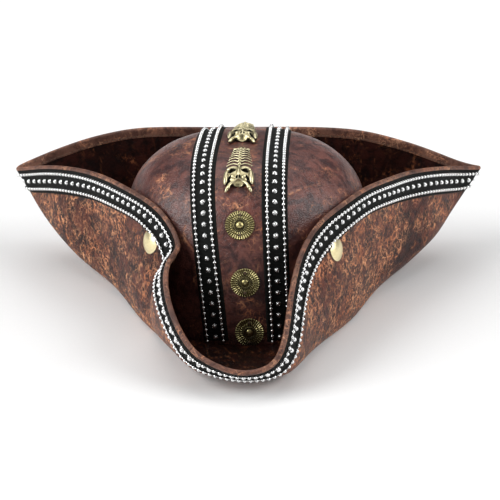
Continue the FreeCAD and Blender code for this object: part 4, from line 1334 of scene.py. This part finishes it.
def make_camera():
    data = bpy.data.cameras.new("camera")
    data.lens = CAMERA_LENS
    data.clip_end = 100.0
    camera = bpy.data.objects.new("camera", data)
    lift = math.radians(CAMERA_ELEVATION)
    camera.location = CAMERA_TARGET + Vector((0, -math.cos(lift), math.sin(lift))) * CAMERA_DISTANCE
    camera.rotation_euler = (math.pi / 2 - lift, 0, 0)
    bpy.context.scene.collection.objects.link(camera)
    bpy.context.scene.camera = camera


# ---- assembly ------------------------------------------------------------------------------------------
flap_leather = leather_material("flap_leather", (0.014, 0.0045, 0.0045), (0.105, 0.028, 0.017),
                                (0.78, 0.37, 0.19), 1.0, 0.16, 0.38, 0.62)
# Darker, less scuffed copy of the flap leather for the brim's upper face: painted shade for the inside of the
# brim.
shaded_inner_leather = leather_material("shaded_inner_leather", (0.007, 0.0022, 0.002), (0.034, 0.008, 0.0055),
                                 (0.34, 0.13, 0.055), 0.45, 0.16, 0.42, 0.60)
crown_leather = leather_material("crown_leather", (0.045, 0.016, 0.016), (0.17, 0.060, 0.047),
                                 (0.60, 0.27, 0.14), 0.55, 0.5, 0.30, 0.50)
edge_leather = leather_material("edge_leather", (0.07, 0.030, 0.022), (0.18, 0.082, 0.056),
                                (0.56, 0.29, 0.17), 0.9, 0.3, 0.42, 0.6)
ribbon_finish = ribbon_material()
silver = silver_material()
charm_brass = antique_brass_material("charm_brass", (0.86, 0.78, 0.50), (0.42, 0.35, 0.17))
disc_brass = antique_brass_material("disc_brass", (0.66, 0.58, 0.28), (0.26, 0.21, 0.075))
pale_brass = pale_brass_material()
thread = thread_material()
lining_cloth = cloth_material("lining_cloth", (0.008, 0.008, 0.008), (0.03, 0.03, 0.03), 0.0011, 0.6)
stiffener_cloth = cloth_material("stiffener_cloth", (0.42, 0.39, 0.33), (0.6, 0.57, 0.5), 0.0016, 0.9)

make_camera()
brim = Brim()
crown = Crown()
make_brim(brim, shaded_inner_leather, flap_leather, stiffener_cloth)
make_binding(brim, edge_leather, thread)
make_brim_trim(brim, ribbon_finish, silver)
make_crown(crown, crown_leather)
make_lining(crown, lining_cloth)
make_sweatband(crown, ribbed_material(), thread)
make_band(crown, "left", LEFT_SEAM, ribbon_finish, silver)
make_band(crown, "right", RIGHT_SEAM, ribbon_finish, silver)
make_conchos(crown, disc_brass)
make_charms(crown, charm_brass)

for side in ("left", "right"):
    for part in ("_rivet_cap", "_rivet_post", "_rivet_back_cap"):
        finish_node(side + part, pale_brass)
finish_node("ornament_threads", thread)
finish_node("seam_tape", lining_cloth)
finish_node("crown_interlining", stiffener_cloth)

make_floor()
make_lights()
